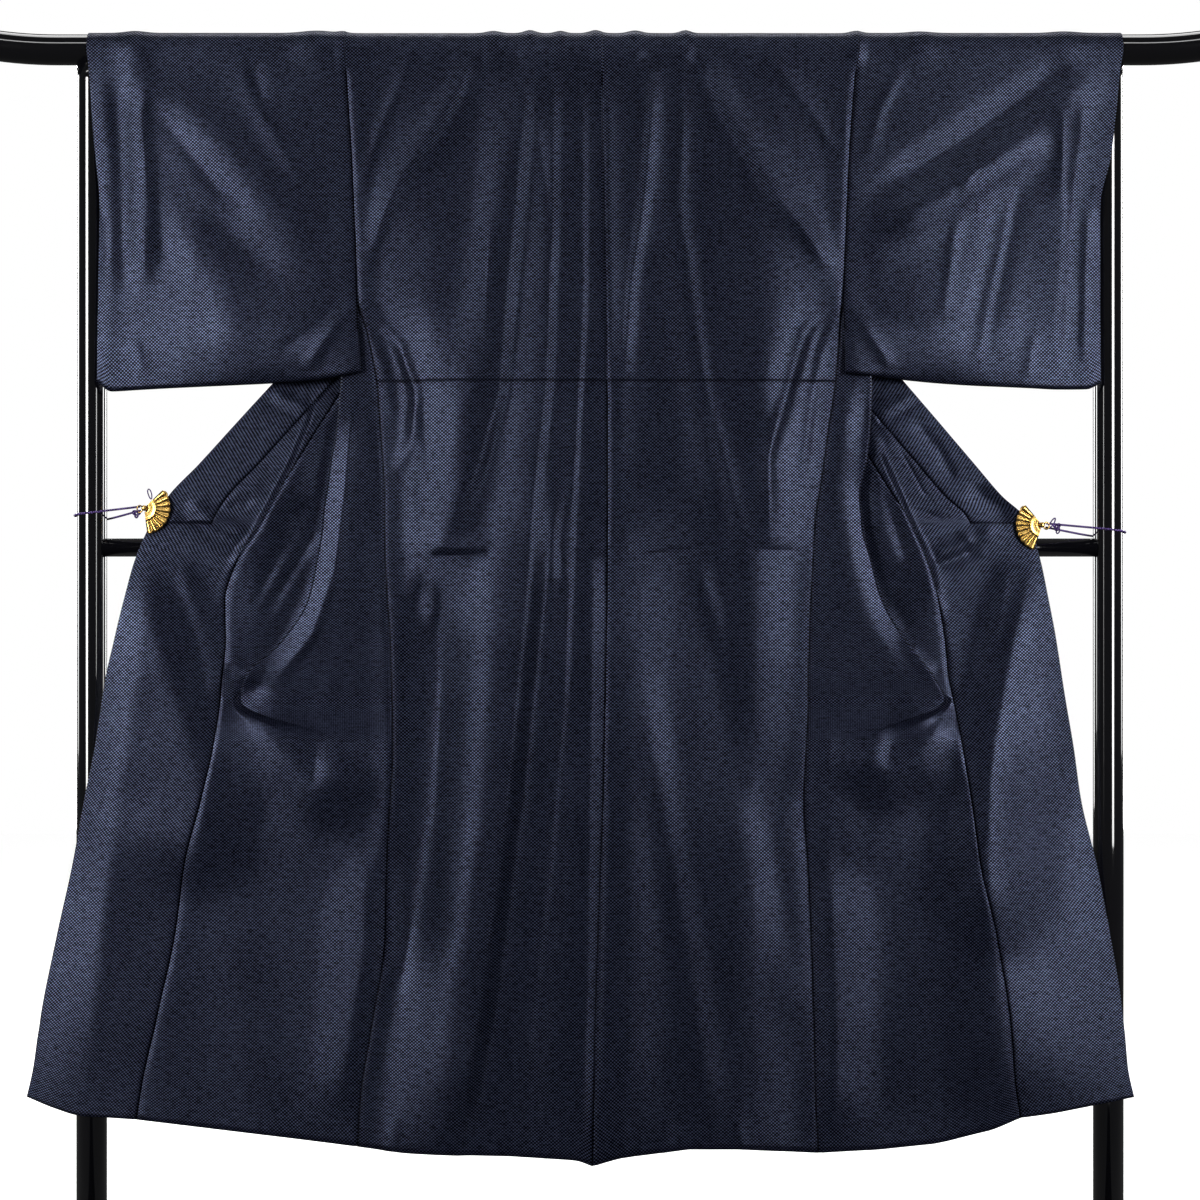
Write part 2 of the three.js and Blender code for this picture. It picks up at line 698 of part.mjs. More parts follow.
function collarShoulderRow(side, line) {
  const seam = new THREE.Vector3(side.sign * (line.seam - HALF_GAP), depthAt('seam', line.z), line.z);
  const edge = new THREE.Vector3(side.sign * line.edge, depthAt('edge', line.z), COLLAR_FIRST_EDGE_Z);
  return collarSteps((t) => seam.clone().lerp(edge, t));
}

function collarGrid(left, right) {
  const middle = collarHangingRow(right, 0, 0, 0, neckTable[0].edgeZ);
  middle.forEach((point) => { point.x = centreAt(BAR.height); });
  return [...collarHalf(left).reverse(), middle, ...collarHalf(right)];
}

// ---- sleeves -------------------------------------------------------------------------
function sleeveShares() {
  const edge = SLEEVE_EDGE_SHARE;
  const inner = [...Array(SLEEVE_COLUMNS - 1).keys()].map((i) => (i + 0.5) / (SLEEVE_COLUMNS - 1));
  return [0, edge, ...inner, 1 - edge, 1];
}

function middleShare(t) {
  return smooth(Math.min(t, 1 - t) / SLEEVE_MIDDLE_SHARE);
}

function sleeveRowData(side, z) {
  const names = ['inner', 'nearOuter', 'farOuter', 'nearOuterY', 'farOuterY', 'farMiddleY'];
  return Object.fromEntries(names.map((name) => [name, lookUp(side.sleeve, 'z', z, name)]));
}

function sleeveInnerDepth(z, near) {
  if (z > ARMHOLE_END) return depthAt(near ? 'near' : 'far', z);
  const middle = z === ARMHOLE_END ? SLEEVE_ARMHOLE_DEPTH : SLEEVE_INNER_DROP;
  return middle + (near ? -SLEEVE_HALF_GAP : SLEEVE_HALF_GAP);
}

function sleevePoint(side, z, t, near) {
  const row = sleeveRowData(side, z);
  const outer = near ? row.nearOuter : row.farOuter;
  const x = side.sign * lerp(row.inner + HALF_GAP, outer, t);
  const inner = sleeveInnerDepth(z, near);
  const outerY = near ? row.nearOuterY : row.farOuterY;
  const straight = lerp(inner, outerY, smooth(t));
  const middle = middleShare(t);
  const fade = smooth(Math.min(t, 1 - t) / EDGE_FADE);
  const push = foldPush(side.sleeveFolds, x, z) * fade;
  const farY = lerp(straight, row.farMiddleY, middle) - push * FAR_FOLD_SHARE;
  if (!near) return new THREE.Vector3(x, farY, z);
  const bulge = SLEEVE_NEAR_BULGE * middle * smooth((BAR_FADE.start - z) / 200);
  return new THREE.Vector3(x, straight - bulge - push, z);
}

function sleeveBottomPoint(side, t, place) {
  const m = lerp(side.bottomX[0], side.bottomX[1], t);
  const depths = SLEEVE_BOTTOM_DEPTHS;
  const middle = middleShare(t);
  const y = lerp(lerp(depths.inner, depths.outer, smooth(t)), depths.middle, middle);
  const z = lookUp(side.sleeveBottom, 'x', m, 'z');
  const drop = place === 0 ? SLEEVE_TURN_DROP : 0;
  return new THREE.Vector3(side.sign * m, y + place * SLEEVE_BOTTOM_HALF, z - drop);
}

function sleeveBarPoint(side, angle, t) {
  const row = sleeveRowData(side, BAR.height);
  const turn = THREE.MathUtils.degToRad(angle);
  const outer = lerp(row.nearOuter, row.farOuter, (angle + 90) / 180);
  const x = side.sign * lerp(row.inner + HALF_GAP, outer, t);
  const z = BAR.height + SHOULDER_RADIUS * Math.cos(turn);
  return new THREE.Vector3(x, SHOULDER_RADIUS * Math.sin(turn), z);
}

// The sleeve's ring of rows: bottom turn, near cloth, bar, far cloth.
function sleeveRing(side) {
  const shares = sleeveShares();
  const heights = side.sleeve.map((row) => row.z).filter((z) => z < BAR.height);
  const rising = [...heights].reverse();
  const row = (make) => shares.map(make);
  const ring = [];
  ring.push({ z: 0, points: row((t) => sleeveBottomPoint(side, t, 0)) });
  ring.push({ z: 1, near: true, points: row((t) => sleeveBottomPoint(side, t, -1)) });
  rising.forEach((z) => ring.push({ z, near: true, points: row((t) => sleevePoint(side, z, t, true)) }));
  for (let i = 0; i <= 8; i += 1) {
    ring.push({ z: BAR.height, points: row((t) => sleeveBarPoint(side, -90 + i * SHOULDER_STEP, t)) });
  }
  heights.forEach((z) => ring.push({ z, near: false, points: row((t) => sleevePoint(side, z, t, false)) }));
  ring.push({ z: 1, near: false, points: row((t) => sleeveBottomPoint(side, t, 1)) });
  return ring;
}

function ringNormal(ring, r, c) {
  const count = ring.length;
  const row = ring[r].points;
  const after = row[Math.min(c + 1, row.length - 1)];
  const across = new THREE.Vector3().subVectors(after, row[Math.max(c - 1, 0)]);
  const next = ring[(r + 1) % count].points[c];
  const previous = ring[(r + count - 1) % count].points[c];
  const along = new THREE.Vector3().subVectors(next, previous);
  return new THREE.Vector3().crossVectors(across, along).normalize();
}

function sleevePoints(ring, sign) {
  const points = [];
  for (const half of [0.5, -0.5]) {
    ring.forEach((row, r) => row.points.forEach((point, c) => {
      points.push(point.clone().addScaledVector(ringNormal(ring, r, c), CLOTH_WALL * half * sign));
    }));
  }
  return points;
}

// Wall cells that join near and far cloth where the sleeve's sides are sewn shut.
function closingCells(ring, columns, layer, column, top) {
  const cells = [];
  const last = ring.length;
  const id = (r, c) => layer + (r % last) * columns + c;
  for (let r = 0; ring[r + 1].z <= top && ring[r + 1].z < BAR.height; r += 1) {
    const low = last - r;
    const face = (from, to) => [id(from, column), id(from, column + 1), id(to, column + 1), id(to, column)];
    cells.push([...face(r, r + 1), ...face(low, low - 1 + last)]);
  }
  return cells;
}

function sleeveSolid(side) {
  const ring = sleeveRing(side);
  const columns = ring[0].points.length;
  const points = sleevePoints(ring, side.sign);
  const layer = ring.length * columns;
  const cells = [];
  for (let r = 0; r < ring.length; r += 1) {
    for (let c = 0; c + 1 < columns; c += 1) {
      const next = (r + 1) % ring.length;
      const face = [r * columns + c, r * columns + c + 1, next * columns + c + 1, next * columns + c];
      cells.push([...face, ...face.map((v) => v + layer)]);
    }
  }
  cells.push(...closingCells(ring, columns, layer, 0, ARMHOLE_END));
  cells.push(...closingCells(ring, columns, layer, columns - 2, CUFF_END));
  return geometryFrom(points, boundaryFaces(cells));
}

// ---- the stand -----------------------------------------------------------------------
function roundShape(radius, sides) {
  const shape = new THREE.Shape();
  for (let i = 0; i < sides; i += 1) {
    const angle = (i / sides) * Math.PI * 2;
    const x = radius * Math.cos(angle);
    const y = radius * Math.sin(angle);
    if (i === 0) shape.moveTo(x, y);
    else shape.lineTo(x, y);
  }
  return shape;
}

function tubeAlong(points, radius, sides, steps) {
  const extrudePath = new THREE.CatmullRomCurve3(points);
  const options = { steps, extrudePath, bevelEnabled: false };
  return new THREE.ExtrudeGeometry(roundShape(radius, sides), options);
}

function topBar() {
  const reach = BAR.straightHalf - HALF_GAP;
  const points = [-reach, reach].map((x) => new THREE.Vector3(x, 0, BAR.height));
  return tubeAlong(points, BAR.radius, BAR.sides, 1);
}

// The bar's ends rise in a gentle curve.
function barTip(sign) {
  const start = BAR.straightHalf + HALF_GAP;
  const points = [...Array(BAR_TIP_STEPS + 1).keys()].map((i) => {
    const t = i / BAR_TIP_STEPS;
    return new THREE.Vector3(sign * lerp(start, BAR.halfLength, t), 0, BAR.height + BAR.tipRise * t * t);
  });
  return tubeAlong(points, BAR.radius, BAR.sides, BAR_TIP_STEPS);
}

// Oval column whose two end faces follow given surfaces.
function column(halfX, halfY, sides, bottomAt, topAt) {
  const rings = [0, 0.45, 0.75, 1];
  const points = [];
  const capIds = (level) => rings.map((scale, k) => ringIds(points, scale, k, halfX, halfY, sides, level));
  const top = capIds(topAt);
  const bottom = capIds(bottomAt);
  const faces = [];
  for (let i = 0; i < sides; i += 1) {
    const j = (i + 1) % sides;
    for (let k = 0; k + 1 < rings.length; k += 1) {
      faces.push(cleanFace([top[k][i], top[k + 1][i], top[k + 1][j], top[k][j]]));
      faces.push(cleanFace([bottom[k][j], bottom[k + 1][j], bottom[k + 1][i], bottom[k][i]]));
    }
    faces.push([top[3][i], bottom[3][i], bottom[3][j], top[3][j]]);
  }
  return geometryFrom(points, faces);
}

function ringIds(points, scale, k, halfX, halfY, sides, level) {
  const first = points.length;
  const count = k === 0 ? 1 : sides;
  for (let i = 0; i < count; i += 1) {
    const angle = (i / sides) * Math.PI * 2;
    const x = halfX * scale * Math.cos(angle);
    const y = halfY * scale * Math.sin(angle);
    points.push(new THREE.Vector3(x, y, level(x, y, scale)));
  }
  return [...Array(sides).keys()].map((i) => (k === 0 ? first : first + i));
}

function cleanFace(ids) {
  return ids.filter((id, i) => ids.indexOf(id) === i);
}

function upright(sign) {
  const under = (x, y, scale) => {
    const reach = BAR.radius + SEAM_GAP;
    const slack = scale < 1 ? 1 : 0;
    return BAR.height - Math.sqrt(reach * reach - y * y) - slack;
  };
  const floor = () => FOOT.height + SEAM_GAP;
  const geometry = column(UPRIGHT.halfWidth, UPRIGHT.halfDepth, UPRIGHT.sides, floor, under);
  return geometry.translate(sign * UPRIGHT.offset, 0, 0);
}

function middleRail() {
  const reach = (x, y) => {
    const across = y / (UPRIGHT.halfDepth + SEAM_GAP);
    return UPRIGHT.offset - (UPRIGHT.halfWidth + SEAM_GAP) * Math.sqrt(1 - across * across) - SEAM_GAP;
  };
  const geometry = column(RAIL.radius, RAIL.radius, RAIL.sides, (x, y) => -reach(x, y), reach);
  return geometry.rotateY(Math.PI / 2).translate(0, 0, RAIL.height);
}

function foot(sign) {
  const half = FOOT.length / 2;
  const shape = new THREE.Shape();
  shape.moveTo(-half, 0);
  shape.lineTo(half, 0);
  shape.lineTo(half, FOOT.height - FOOT.corner);
  shape.quadraticCurveTo(half, FOOT.height, half - FOOT.corner, FOOT.height);
  shape.lineTo(-half + FOOT.corner, FOOT.height);
  shape.quadraticCurveTo(-half, FOOT.height, -half, FOOT.height - FOOT.corner);
  const settings = { depth: FOOT.width, bevelEnabled: false, curveSegments: 5 };
  const geometry = new THREE.ExtrudeGeometry(shape, settings);
  geometry.translate(0, 0, -FOOT.width / 2).rotateX(Math.PI / 2).rotateZ(Math.PI / 2);
  return geometry.translate(sign * UPRIGHT.offset, 0, 0);
}

// ---- clips and cords -----------------------------------------------------------------
function fanLeaf(clip, depth, forward) {
  const columns = CLIP.pleats * 2;
  const radii = [CLIP.inner, lerp(CLIP.inner, CLIP.outer, 0.5), CLIP.outer];
  const grid = radii.map((radius) => [...Array(columns + 1).keys()].map((i) => {
    const angle = THREE.MathUtils.degToRad(lerp(clip.from, clip.to, i / columns));
    const wave = (i % 2 === 0 ? 0 : 1) * CLIP.pleatDepth * (radius / CLIP.outer) * forward;
    const x = clip.x + radius * Math.cos(angle);
    return new THREE.Vector3(x, depth + wave, clip.z + radius * Math.sin(angle));
  }));
  return sheetSolid(grid, CLIP.wall);
}

function clipBarrel(clip) {
  const length = CLIP_BARREL.back - CLIP_BARREL.front;
  const geometry = new THREE.CylinderGeometry(CLIP_BARREL.radius, CLIP_BARREL.radius, length, 16);
  return geometry.translate(clip.x, CLIP_BARREL.front + length / 2, clip.z);
}

// Cord: out from the clip, once round the upright, and back to the clip.
function cordRoute(clip, sign) {
  const offset = CORD.radius + CORD.clearance;
  const wide = UPRIGHT.halfWidth + offset;
  const deep = UPRIGHT.halfDepth + offset;
  const centre = sign * UPRIGHT.offset;
  const start = clip.x + sign * (CLIP_BARREL.radius + offset);
  const points = [new THREE.Vector3(start, -24, clip.z + 2)];
  for (let i = 0; i <= 8; i += 1) {
    const angle = THREE.MathUtils.degToRad(-75 - i * 28);
    const drop = lerp(3, -6, i / 8);
    const x = centre - sign * wide * Math.cos(angle);
    points.push(new THREE.Vector3(x, deep * Math.sin(angle), clip.z - 8 + drop));
  }
  points.push(new THREE.Vector3(start, -20.5, clip.z - 3));
  return points;
}

function cord(clip, sign) {
  return tubeAlong(cordRoute(clip, sign), CORD.radius, CORD.sides, CORD.steps);
}

// ---- assembly ------------------------------------------------------------------------
function addMesh(group, name, geometry, color, shine) {
  const material = new THREE.MeshStandardMaterial({ color, ...shine });
  const mesh = new THREE.Mesh(geometry, material);
  mesh.name = name;
  group.add(mesh);
}

function buildPart() {
  const group = new THREE.Group();
  group.name = 'kimono_on_stand';
  const matte = { roughness: 0.8, metalness: 0 };
  const gloss = { roughness: 0.15, metalness: 0 };
  const metal = { roughness: 0.3, metalness: 1 };
  const left = makeSide('left');
  const right = makeSide('right');
  for (const side of [left, right]) {
    addMesh(group, `body_${side.name}`, sheetSolid(bodyGrid(side)), COLORS.cloth, matte);
    addMesh(group, `okumi_${side.name}`, sheetSolid(okumiGrid(side)), COLORS.cloth, matte);
    addMesh(group, `sleeve_${side.name}`, sleeveSolid(side), COLORS.cloth, matte);
    addMesh(group, `bar_tip_${side.name}`, barTip(side.sign), COLORS.lacquer, gloss);
    addMesh(group, `upright_${side.name}`, upright(side.sign), COLORS.lacquer, gloss);
    addMesh(group, `foot_${side.name}`, foot(side.sign), COLORS.lacquer, gloss);
    const clip = side.name === 'left' ? LEFT_CLIP : RIGHT_CLIP;
    addMesh(group, `clip_front_${side.name}`, fanLeaf(clip, CLIP.nearY, -1), COLORS.gold, metal);
    addMesh(group, `clip_rear_${side.name}`, fanLeaf(clip, CLIP.farY, 1), COLORS.gold, metal);
    addMesh(group, `clip_barrel_${side.name}`, clipBarrel(clip), COLORS.gold, metal);
    addMesh(group, `cord_${side.name}`, cord(clip, side.sign), COLORS.cord, matte);
  }
  addMesh(group, 'collar', sheetSolid(collarGrid(left, right)), COLORS.cloth, matte);
  addMesh(group, 'top_bar', topBar(), COLORS.lacquer, gloss);
  addMesh(group, 'middle_rail', middleRail(), COLORS.lacquer, gloss);
  return group;
}

export default buildPart();
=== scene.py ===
import math

import bmesh
import bpy
import numpy as np
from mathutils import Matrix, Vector


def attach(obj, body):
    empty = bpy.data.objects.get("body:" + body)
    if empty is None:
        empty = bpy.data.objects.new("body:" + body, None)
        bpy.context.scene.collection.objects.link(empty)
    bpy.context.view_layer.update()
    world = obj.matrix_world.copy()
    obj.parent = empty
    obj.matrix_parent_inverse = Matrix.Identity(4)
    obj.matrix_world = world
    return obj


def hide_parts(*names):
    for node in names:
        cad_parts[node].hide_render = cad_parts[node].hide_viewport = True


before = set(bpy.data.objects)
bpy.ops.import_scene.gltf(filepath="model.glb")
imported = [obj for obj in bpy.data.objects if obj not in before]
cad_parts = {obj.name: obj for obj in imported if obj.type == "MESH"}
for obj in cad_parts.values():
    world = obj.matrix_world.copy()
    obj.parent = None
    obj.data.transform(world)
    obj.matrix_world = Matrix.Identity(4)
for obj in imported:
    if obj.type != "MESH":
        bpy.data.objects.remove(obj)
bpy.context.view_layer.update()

MM = 0.001

# ---- driving sizes (millimetres) ----------------------------------------------------
WALL = 1.2
SEAM_GAP = 0.3
HALF_GAP = SEAM_GAP / 2
FOLD_RADIUS = 2.5
SHOULDER_HEIGHT = 1611
FRONT_SEAM_TOP = 1432
FRONT_CREASE_TOP = 1600
BODY_COLUMNS = 14
FREE_COLUMNS = 8
CROWDING = {"bar": 0.66, "shoulder": 0.8, "neck": 0.975, "from": 1580}
OKUMI_COLUMNS = 4
COLLAR_COLUMNS = 6
SLEEVE_COLUMNS = 10

BAR = {
    "radius": 20, "height": 1640, "half_length": 890, "tip_rise": 26, "tip_share": 0.2,
    "end_share": 0.998, "end_size": 0.93,
}
BAR_TURNS = [-90 + i * 22.5 for i in range(9)]
UPRIGHT = {"offset": 669, "half_width": 20, "half_depth": 18, "rings": (600, 1200, 1600)}
RAIL = {"radius": 12, "height": 985}
FOOT_HEIGHT = 34
SHOULDER_RADIUS = 21.5
COLLAR_SEAM_RADIUS = 22.3
COLLAR_BEND_RADIUS = 23.1

# Distances from the centre line at each height, one table per side.
LINE_COLUMNS = ["z", "side", "ridge", "roll", "seam", "edge"]
LEFT_LINES = [
    [1611, 332, 0, 0, 78, 49],
    [1553, 328, 0, 0, 74, 101],
    [1496, 324, 0, 72, 79, 156],
    [1432, 321, 0, 94, 138, 214],
    [1371, 318, 0, 120, 192, 270],
    [1306, 316, 316, 148, 252, 330],
    [1264, 304, 330, 179, 292, 370],
    [1195, 291, 338, 218, 335, 434],
    [1143, 287, 342, 240, 368, 481],
    [1093, 283, 351, 266, 398, 526],
    [1054, 281, 356, 285, 422, 563],
    [1020, 281, 361, 300, 442, 585],
    [971, 280, 368, 322, 472, 607],
    [916, 277, 380, 344, 490, 621],
    [860, 273, 416, 382, 489, 634],
    [816, 272, 460, 428, 493, 644],
    [786, 271, 468, 478, 495, 649],
    [724, 270, 0, 0, 504, 659],
    [656, 274, 0, 0, 519, 673],
    [567, 279, 0, 0, 542, 690],
    [477, 281, 0, 0, 555, 710],
    [357, 299, 0, 0, 581, 733],
    [266, 313, 0, 0, 597, 741],
]
RIGHT_LINES = [
    [1611, 334, 0, 0, 83, 52],
    [1553, 329, 0, 0, 76, 101],
    [1496, 325, 0, 72, 79, 151],
    [1432, 322, 0, 91, 129, 204],
    [1371, 319, 0, 117, 182, 256],
    [1306, 316, 316, 142, 237, 311],
    [1264, 313, 335, 168, 265, 347],
    [1195, 307, 354, 208, 302, 405],
    [1143, 299, 352, 226, 330, 449],
    [1093, 292, 346, 236, 358, 491],
    [1054, 286, 338, 244, 382, 524],
    [1020, 281, 341, 260, 404, 559],
    [971, 278, 352, 283, 425, 575],
    [916, 275, 367, 307, 441, 585],
    [860, 273, 399, 345, 450, 595],
    [816, 272, 433, 381, 454, 602],
    [786, 272, 447, 455, 460, 607],
    [724, 269, 0, 0, 471, 618],
    [656, 266, 0, 0, 482, 628],
    [567, 272, 0, 0, 494, 650],
    [477, 276, 0, 0, 515, 667],
    [357, 280, 0, 0, 534, 685],
    [266, 282, 0, 0, 540, 690],
]

# Depth (Y) of each line of the cloth by height.
DEPTH_COLUMNS = ["z", "far", "near", "ridge", "middle", "seam", "edge"]
DEPTHS = [
    [1640, 21.5, -21.5, 0, -21.5, 21.5, 24],
    [1611, 20, -22.5, 0, -24, 22, 27],
    [1553, 14, -25, 0, -28, 17, 24],
    [1496, 7, -28, 0, -32, 11, 18],
    [1432, -3, -31, 0, -37, 5, 11],
    [1371, -16, -34, 0, -42, -2, 4],
    [1306, -33, -37, -33, -46, -8, -1],
    [1264, -34, -34, -34, -49, -12, -5],
    [1195, -34, -34, -35, -53, -16, -12],
    [1143, -38, -38, -42, -55, -19, -16],
    [1093, -41, -41, -46, -56, -21, -19],
    [1054, -42, -42, -47, -57, -23, -22],
    [1020, -43, -43, -48, -57, -23, -22.5],
    [971, -44, -44, -49, -57, -23.5, -23],
    [916, -44, -44, -49, -57, -24, -23.5],
    [860, -44, -44, -49, -57, -26, -24],
    [816, -44, -44, -49, -56, -28, -25],
    [786, -43, -43, -46, -56, -28, -25],
    [724, -42, -42, -42, -55, -29, -25.5],
    [567, -37, -37, -37, -50, -29, -26.5],
    [357, -34, -34, -34, -43, -29, -27],
    [170, -33, -33, -33, -41, -29, -27],
]

# Centre back seam (z, x) and hem line (x, z).
CENTRE_SEAM = [(1640, 3), (1176, 10), (916, 10), (656, 5), (396, -4), (170, -10)]
HEM_LINE = [
    (-756, 270), (-690, 243), (-607, 238), (-481, 223), (-322, 204), (-260, 196),
    (-117, 192), (-33, 187), (-10, 179), (26, 190), (117, 201), (182, 201),
    (283, 195), (364, 199), (442, 207), (520, 227), (543, 240), (591, 246),
    (650, 257), (705, 268),
]
HEM_SPREAD = 8
HEM_LEVEL = 200
HEM_REACH = 357

# Collar round the neck: angle over the bar, seam x, edge x, edge z.
NECK_CURVE = [
    (0, 3, 2, 1617),
    (22.5, 40, 20, 1612),
    (45, 66, 35, 1605),
    (67.5, 76, 43, 1598),
    (90, 80, 46, 1592),
]
COLLAR_FIRST_EDGE_Z = 1580
COLLAR_TURNED_Z = 1480
COLLAR_TURN = {"x": 56, "y": 22, "edge_y": 29, "drop": 8, "bend": 0.3}
COLLAR_HANG_DEPTH = 26
COLLAR_END = 1020
OKUMI_TIP_WIDTH = 2
COLLAR_END_STEP = 2
COLLAR_END_LAP = {"start": 12, "reach": 10, "drop": 4.0, "forward": 1.5}
COLLAR_JOIN_REACH = 40

# Large folds: from x, z to x, z, half width, height (forward is positive).
BACK_FOLDS = [
    [-166, 1603, -300, 1400, 20, 6],
    [-99, 1603, -198, 1052, 34, 9],
    [-81, 1553, -169, 916, 24, -8],
    [16, 1634, 23, 1046, 18, 6],
    [72, 1599, 52, 1397, 18, 6],
    [130, 1618, 310, 1330, 24, 9],
    [109, 1488, 135, 1197, 24, -7],
    [135, 1197, 187, 760, 24, -7],
    [187, 760, 250, 448, 24, -7],
    [156, 1150, 215, 526, 24, 5],
    [-135, 968, -208, 230, 36, 10],
    [-52, 760, -104, 200, 26, -8],
    [42, 812, 39, 220, 28, 8],
    [-300, 1290, -247, 1176, 20, -5],
    [300, 1290, 240, 1176, 20, -5],
]
LEFT_FRONT_FOLDS = [
    [-495, 735, -446, 616, 30, 5],
    [-446, 616, -368, 577, 34, 6],
    [-368, 577, -300, 665, 30, 4],
    [-410, 740, -350, 690, 36, 5],
    [-624, 864, -662, 396, 30, 4],
    [-430, 500, -400, 230, 40, -5],
]
RIGHT_FRONT_FOLDS = [
    [290, 740, 312, 604, 28, 4],
    [312, 604, 372, 591, 34, 6],
    [372, 591, 437, 760, 32, 5],
    [350, 740, 400, 690, 36, 5],
    [562, 927, 603, 656, 26, 4],
    [395, 552, 354, 240, 34, -5],
]
LEFT_SLEEVE_FOLDS = [
    [-585, 1618, -400, 1400, 26, 4],
    [-610, 1570, -420, 1330, 24, -3],
    [-602, 1560, -602, 1345, 16, 3],
]
RIGHT_SLEEVE_FOLDS = [
    [637, 1618, 380, 1449, 26, -6],
    [598, 1527, 370, 1384, 26, 6],
    [607, 1580, 600, 1440, 16, 3],
    [546, 1475, 494, 1260, 22, -4],
]
FOLD_END_TAPER = 0.18
FOLD_END_STRENGTH = 0.55
BACK_BULGE_SHARE = 0.35
FRONT_FADE = 30
LOW_FOLD_FADE = 20
BAR_FADE = {"start": 1630, "length": 110, "sleeve_length": 200}
EDGE_FADE = 0.14
FOLD_SHARE = {"back": 0.35, "front": 0.3, "sleeve": 0.7}

SLEEVE_COLUMN_NAMES = [
    "z", "inner", "near_outer", "far_outer", "near_outer_y", "far_outer_y", "far_middle_y",
]
LEFT_SLEEVE = [
    [1640, 334, 672, 671, -21.5, 21.5, 21.5],
    [1611, 332, 669, 663, -22.2, 20.5, 20],
    [1553, 328, 665, 645, -23, 14, 16],
    [1496, 324, 660, 644, -24, 0, 11],
    [1432, 321, 654, 645, -26, -20.5, 5],
    [1371, 318, 655, 646, -27, -21, 0],
    [1306, 316, 656, 646, -28, -21.5, -7],
    [1264, 314, 657, 647, -28, -22, -12],
]
RIGHT_SLEEVE = [
    [1640, 338, 685, 683, -21.5, 21.5, 21.5],
    [1611, 334, 681, 668, -22.2, 20.5, 20],
    [1553, 329, 675, 645, -23, 14, 16],
    [1496, 325, 668, 643, -24, 0, 11],
    [1432, 322, 654, 643, -26, -20.5, 5],
    [1371, 319, 654, 644, -27, -21, 0],
    [1306, 316, 654, 644, -28, -21.5, -7],
    [1264, 317, 654, 644, -28, -22, -12],
]
LEFT_SLEEVE_BOTTOM = [(312, 1215), (351, 1206), (429, 1201), (560, 1195), (640, 1191), (658, 1205)]
RIGHT_SLEEVE_BOTTOM = [(318, 1214), (397, 1205), (468, 1199), (631, 1192), (654, 1202)]
SLEEVE_EDGE_SHARE = 0.006
SLEEVE_MIDDLE_SHARE = 0.4
FAR_FOLD_SHARE = 0.4
SLEEVE_NEAR_BULGE = 3
SLEEVE_INNER_DROP = -45
SLEEVE_ARMHOLE_DEPTH = -38.5
SLEEVE_HALF_GAP = 2.2
SLEEVE_BOTTOM_DEPTHS = {"inner": -45, "middle": -33, "outer": -28}
SLEEVE_BOTTOM_HALF = 3
SLEEVE_TURN_DROP = 2.5
ARMHOLE_END = 1306
ARMHOLE_TURN = {"inset": 1.3, "gap": 1.3, "depth": 3, "lean": 0.5}
CUFF_END = 1432
SLEEVE_SEAM_END = 1264
SEWN_EDGE = {"reach": 14.0, "fade": 20, "half_gap": 0.7}

# The stitched waist tuck: the cloth above it lies over the cloth below, and a thin painted shadow
# line is darkened into the cloth along it.
TUCK = {
    "height": 1201.0, "rise": 1.0, "step": 2.0, "reach": 60, "fade": 55, "centre_fade": 4,
    "painted_shadow": 0.6, "painted_shadow_width": 2.2,
}
STORAGE_LINE = 978
# Width in millimetres of the painted shadow darkened into the cloth along its stitched edges.
PAINTED_SEAM_SHADOW_WIDTH = 2.6
SEAM_DIP = {"depth": 0.8, "reach": 4.0}
SEAM_ALLOWANCE = {"over": 2.2, "under": 1.9, "reach": 5.0}

# Spacing of the fine rows and columns, closer rows at a sharp line and closer columns at the
# edges, and how far the pinning of an edge to its line reaches into the cloth.
SPACING = {"body": (8.4, 5.2), "okumi": (5.0, 4.0), "sleeve": (5.0, 4.5), "collar": (5.0, 4.0)}
CLOSE_ROWS = (-4, -2.2, -0.8, 0.8, 2.2, 4)
EDGE_INSETS = (1.2, 2.8)
PIN_REACH = {"back": 30.0, "front": 12.0, "okumi": 20.0, "free": 60.0, "collar": 25.0}
